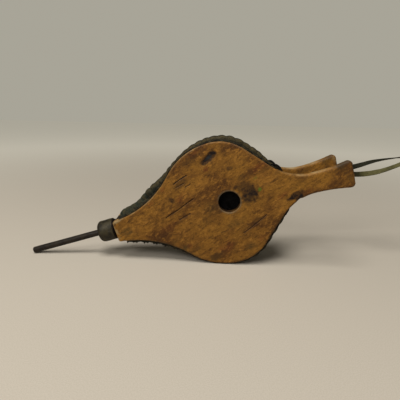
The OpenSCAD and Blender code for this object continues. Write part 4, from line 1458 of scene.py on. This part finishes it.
def makeFerrule():
    radius = nozzle["ferruleWide"] / 2
    long = nozzle["ferruleLong"]
    shoulder = nozzle["shoulder"]
    wall = nozzle["ferruleWall"]
    worn = nozzle["worn"]
    seat = nozzle["seat"] / 2 + nozzle["seatGap"]
    profile = [(0.0, radius - wall), (0.0, radius - 0.5), (0.35, radius - 0.1)]
    profile += [(1.0, radius), (1.9, radius - 0.12)]
    profile += [(height, radius - worn) for height in np.linspace(3, long - shoulder, 10)]
    for a in np.linspace(0, math.pi / 2, nozzle["shoulderSteps"] + 1)[1:]:
        turnedIn = radius - worn - shoulder + shoulder * math.cos(a)
        profile.append((long - shoulder + shoulder * math.sin(a), turnedIn))
    profile += [(long - 0.05, seat + 2.5), (long - 0.3, seat + 0.4), (long - 0.8, seat), (long - wall, seat)]
    profile += [(long - wall - 0.2, radius - shoulder), (long - shoulder, radius - wall)]
    profile.append((0.0, radius - wall))
    ferrule = turned("nozzleFerrule", profile, 96)
    places = points(ferrule)
    broad, small = nozzle["dents"]
    dents = broad * lump(places, 9.0, 1.0) + small * lump(places, 3.2, 2.0)
    outer = np.hypot(places[:, 0], places[:, 1]) > radius - 0.9
    setPoints(ferrule, places + normalsOf(ferrule) * (dents * outer - 0.12)[:, None] * outer[:, None])
    setDown(ferrule, onNozzle(nozzle["ferruleFrom"]))
    smoothShade(ferrule, 45)
    finish(ferrule, oldIron, "iron", "back", "ferrule")


def makeTube():
    radius = nozzle["tubeWide"] / 2
    bore = nozzle["tubeBore"] / 2
    seat = nozzle["seat"] / 2
    front = nozzle["ferruleFrom"] + nozzle["ferruleLong"]
    tip = nozzle["tubeTip"]
    socketEnd = nozzle["socketEnd"]
    profile = [(socketEnd, bore), (socketEnd, seat), (front, seat)]
    profile += [(front + 0.02, radius - 0.25), (front + 0.5, radius)]
    profile += [(height, radius) for height in np.linspace(front + 2, tip - 1.2, nozzle["tubeSteps"])]
    profile += [(tip - 0.5, radius - 0.12), (tip - 0.1, radius - 0.55), (tip, radius - 1.0)]
    profile += [(tip - 0.2, bore + 0.2), (tip - 1, bore), (tip - 30, bore), (socketEnd, bore)]
    tube = turned("nozzleTube", profile, 48)
    places = points(tube)
    broad, small = nozzle["tubeDents"]
    rough = broad * lump(places, 7.0, 4.0) + small * lump(places, 2.0, 6.0) - 0.05
    outer = (np.hypot(places[:, 0], places[:, 1]) > radius - 0.7) & (places[:, 2] > front + 0.3)
    setPoints(tube, places + normalsOf(tube) * (rough * outer)[:, None])
    setDown(tube, onNozzle(0))
    smoothShade(tube, 45)
    finish(tube, nozzleIron, "iron", "back", "nozzle_tube")


makeFerrule()
makeTube()
print("ferrule and nozzle turned")


# inner leathers: a remeshed copy of each solid, waved a little as cut leather is
# each one: its node and body, the remesh's voxel and the height of the waves, and its finish
innerLeathers = {
    "hingeBlockLeaf": ("hinge_block_leaf", "back", 0.45, 0.10, skirtLeather),
    "hingeBoardLeaf": ("hinge_board_leaf", "front", 0.45, 0.10, skirtLeather),
    "hoopTies": ("hoop_ties", "hoop", 0.4, 0.12, skirtLeather),
    "flapStrip": ("flap_strip", "front", 0.5, 0.10, shadedFlapLeather),
    "valveFlap": ("valve_flap", "valve", 0.5, 0.10, shadedFlapLeather),
}
for pieceName, (node, body, voxel, waviness, material) in innerLeathers.items():
    leather = ownCopy(frame["nodes"][node], pieceName)
    leather.parent = None
    for key in list(leather.keys()):
        del leather[key]
    tidyMesh(leather, 1e-6)
    remeshed(leather, voxel / 1000)
    places = points(leather)
    inMm = places * 1000
    ripple = lump(inMm, 6.0, 1.0) + 0.5 * lump(inMm, 2.2, 2.0) - 0.6
    setPoints(leather, places + normalsOf(leather) * (ripple * waviness / 1000)[:, None])
    marks = np.zeros((len(places), 4))
    marks[:, 0] = np.clip(0.25 + 0.6 * lump(inMm, 8.0, 3.0), 0, 1) * 0.5
    paint(leather, "leatherMarksAndShade", marks)
    smoothShade(leather, 60)
    finish(leather, material, "leather", body, node)
print("inner leathers cut")

# CAD nodes that stay, with their finishes
keptNodes = {
    "nose_block": blockWood,
    "valve_disc": blockWood,
    "block_screws": oldIron,
    "ferrule_pins": oldIron,
    "wire_hoop": oldIron,
    "hinge_tacks": oldIron,
    "flap_strip_tacks": oldIron,
    "valve_rivets": shadedRivetIron,
}
for node, material in keptNodes.items():
    frame["nodes"][node].data.materials.clear()
    frame["nodes"][node].data.materials.append(material)
print(len(keptNodes), "CAD nodes finished")


# floor and light
studio = {
    "floor": (178, 168, 152),
    "floorFleck": (170, 160, 144),
    "sky": (186, 182, 168),
    "skyStrength": 0.23,
    "backdropStrength": 0.8,    # the sky as the camera sees it, behind the floor
    "floorWide": 12,
    "fleckScale": 900,
    "farFloor": (0.15, 1.9),    # where the lamps no longer reach, in metres from the bellows
    "farFloorGlow": 0.7,
    "aim": (0.03, 0, 0.08),
    # each lamp: place, size and power
    "key": ((-0.8, -1.2, 1.2), 0.7, 14.0),
    "fill": ((1.2, -1.3, 0.6), 1.4, 2.0),
    "top": ((-0.2, -0.45, 1.65), 0.8, 27.0),
}


def seenDirectly(tree):
    return addNode(tree, "ShaderNodeLightPath", {}).outputs["Is Camera Ray"]


def addSky():
    world = bpy.data.worlds.new("studio")
    scene.world = world
    world.use_nodes = True
    tree = world.node_tree
    skyLight = tree.nodes["Background"]
    skyLight.inputs["Color"].default_value = shade(*studio["sky"])
    skyLight.inputs["Strength"].default_value = studio["skyStrength"]
    backdropInputs = {"Color": shade(*studio["sky"]), "Strength": studio["backdropStrength"]}
    backdrop = addNode(tree, "ShaderNodeBackground", backdropInputs)
    eitherInputs = {0: seenDirectly(tree), 1: skyLight.outputs[0], 2: backdrop.outputs[0]}
    either = addNode(tree, "ShaderNodeMixShader", eitherInputs)
    tree.links.new(either.outputs["Shader"], tree.nodes["World Output"].inputs["Surface"])


def addFloor():
    clearSelection()
    bpy.ops.mesh.primitive_plane_add(size=studio["floorWide"], location=(0, 0, 0))
    floor = bpy.context.object
    floor.name = "floor"
    material, tree, shader = newFinish("paleFloor")
    place = objectCoords(tree)
    flecks = between(tree, cloudy(tree, place, studio["fleckScale"], 3, 0.6), 0.35, 0.65)
    colour = layered(tree, shade(*studio["floor"]), studio, [(flecks, "floorFleck")])
    tree.links.new(colour, shader.inputs["Base Color"])
    shader.inputs["Roughness"].default_value = 0.95
    # the far floor is evened out for the camera alone, so it adds no light to the bellows
    distance = addNode(tree, "ShaderNodeVectorMath", {"Vector": place}, operation="LENGTH").outputs["Value"]
    glow = between(tree, distance, *studio["farFloor"], 0.0, studio["farFloorGlow"])
    tree.links.new(sums(tree, "MULTIPLY", glow, seenDirectly(tree)), shader.inputs["Emission Strength"])
    shader.inputs["Emission Color"].default_value = shade(*studio["sky"])
    floor.data.materials.append(material)


def addLight(name, place, size, power):
    bpy.ops.object.light_add(type="AREA", location=place)
    light = bpy.context.object
    light.name = name
    light.data.shape = "DISK"
    light.data.size = size
    light.data.energy = power
    light.rotation_euler = (Vector(studio["aim"]) - Vector(place)).to_track_quat("-Z", "Y").to_euler()


addFloor()
for lightName in ("key", "fill", "top"):
    addLight(lightName + "Light", *studio[lightName])
addSky()
print("studio lit")
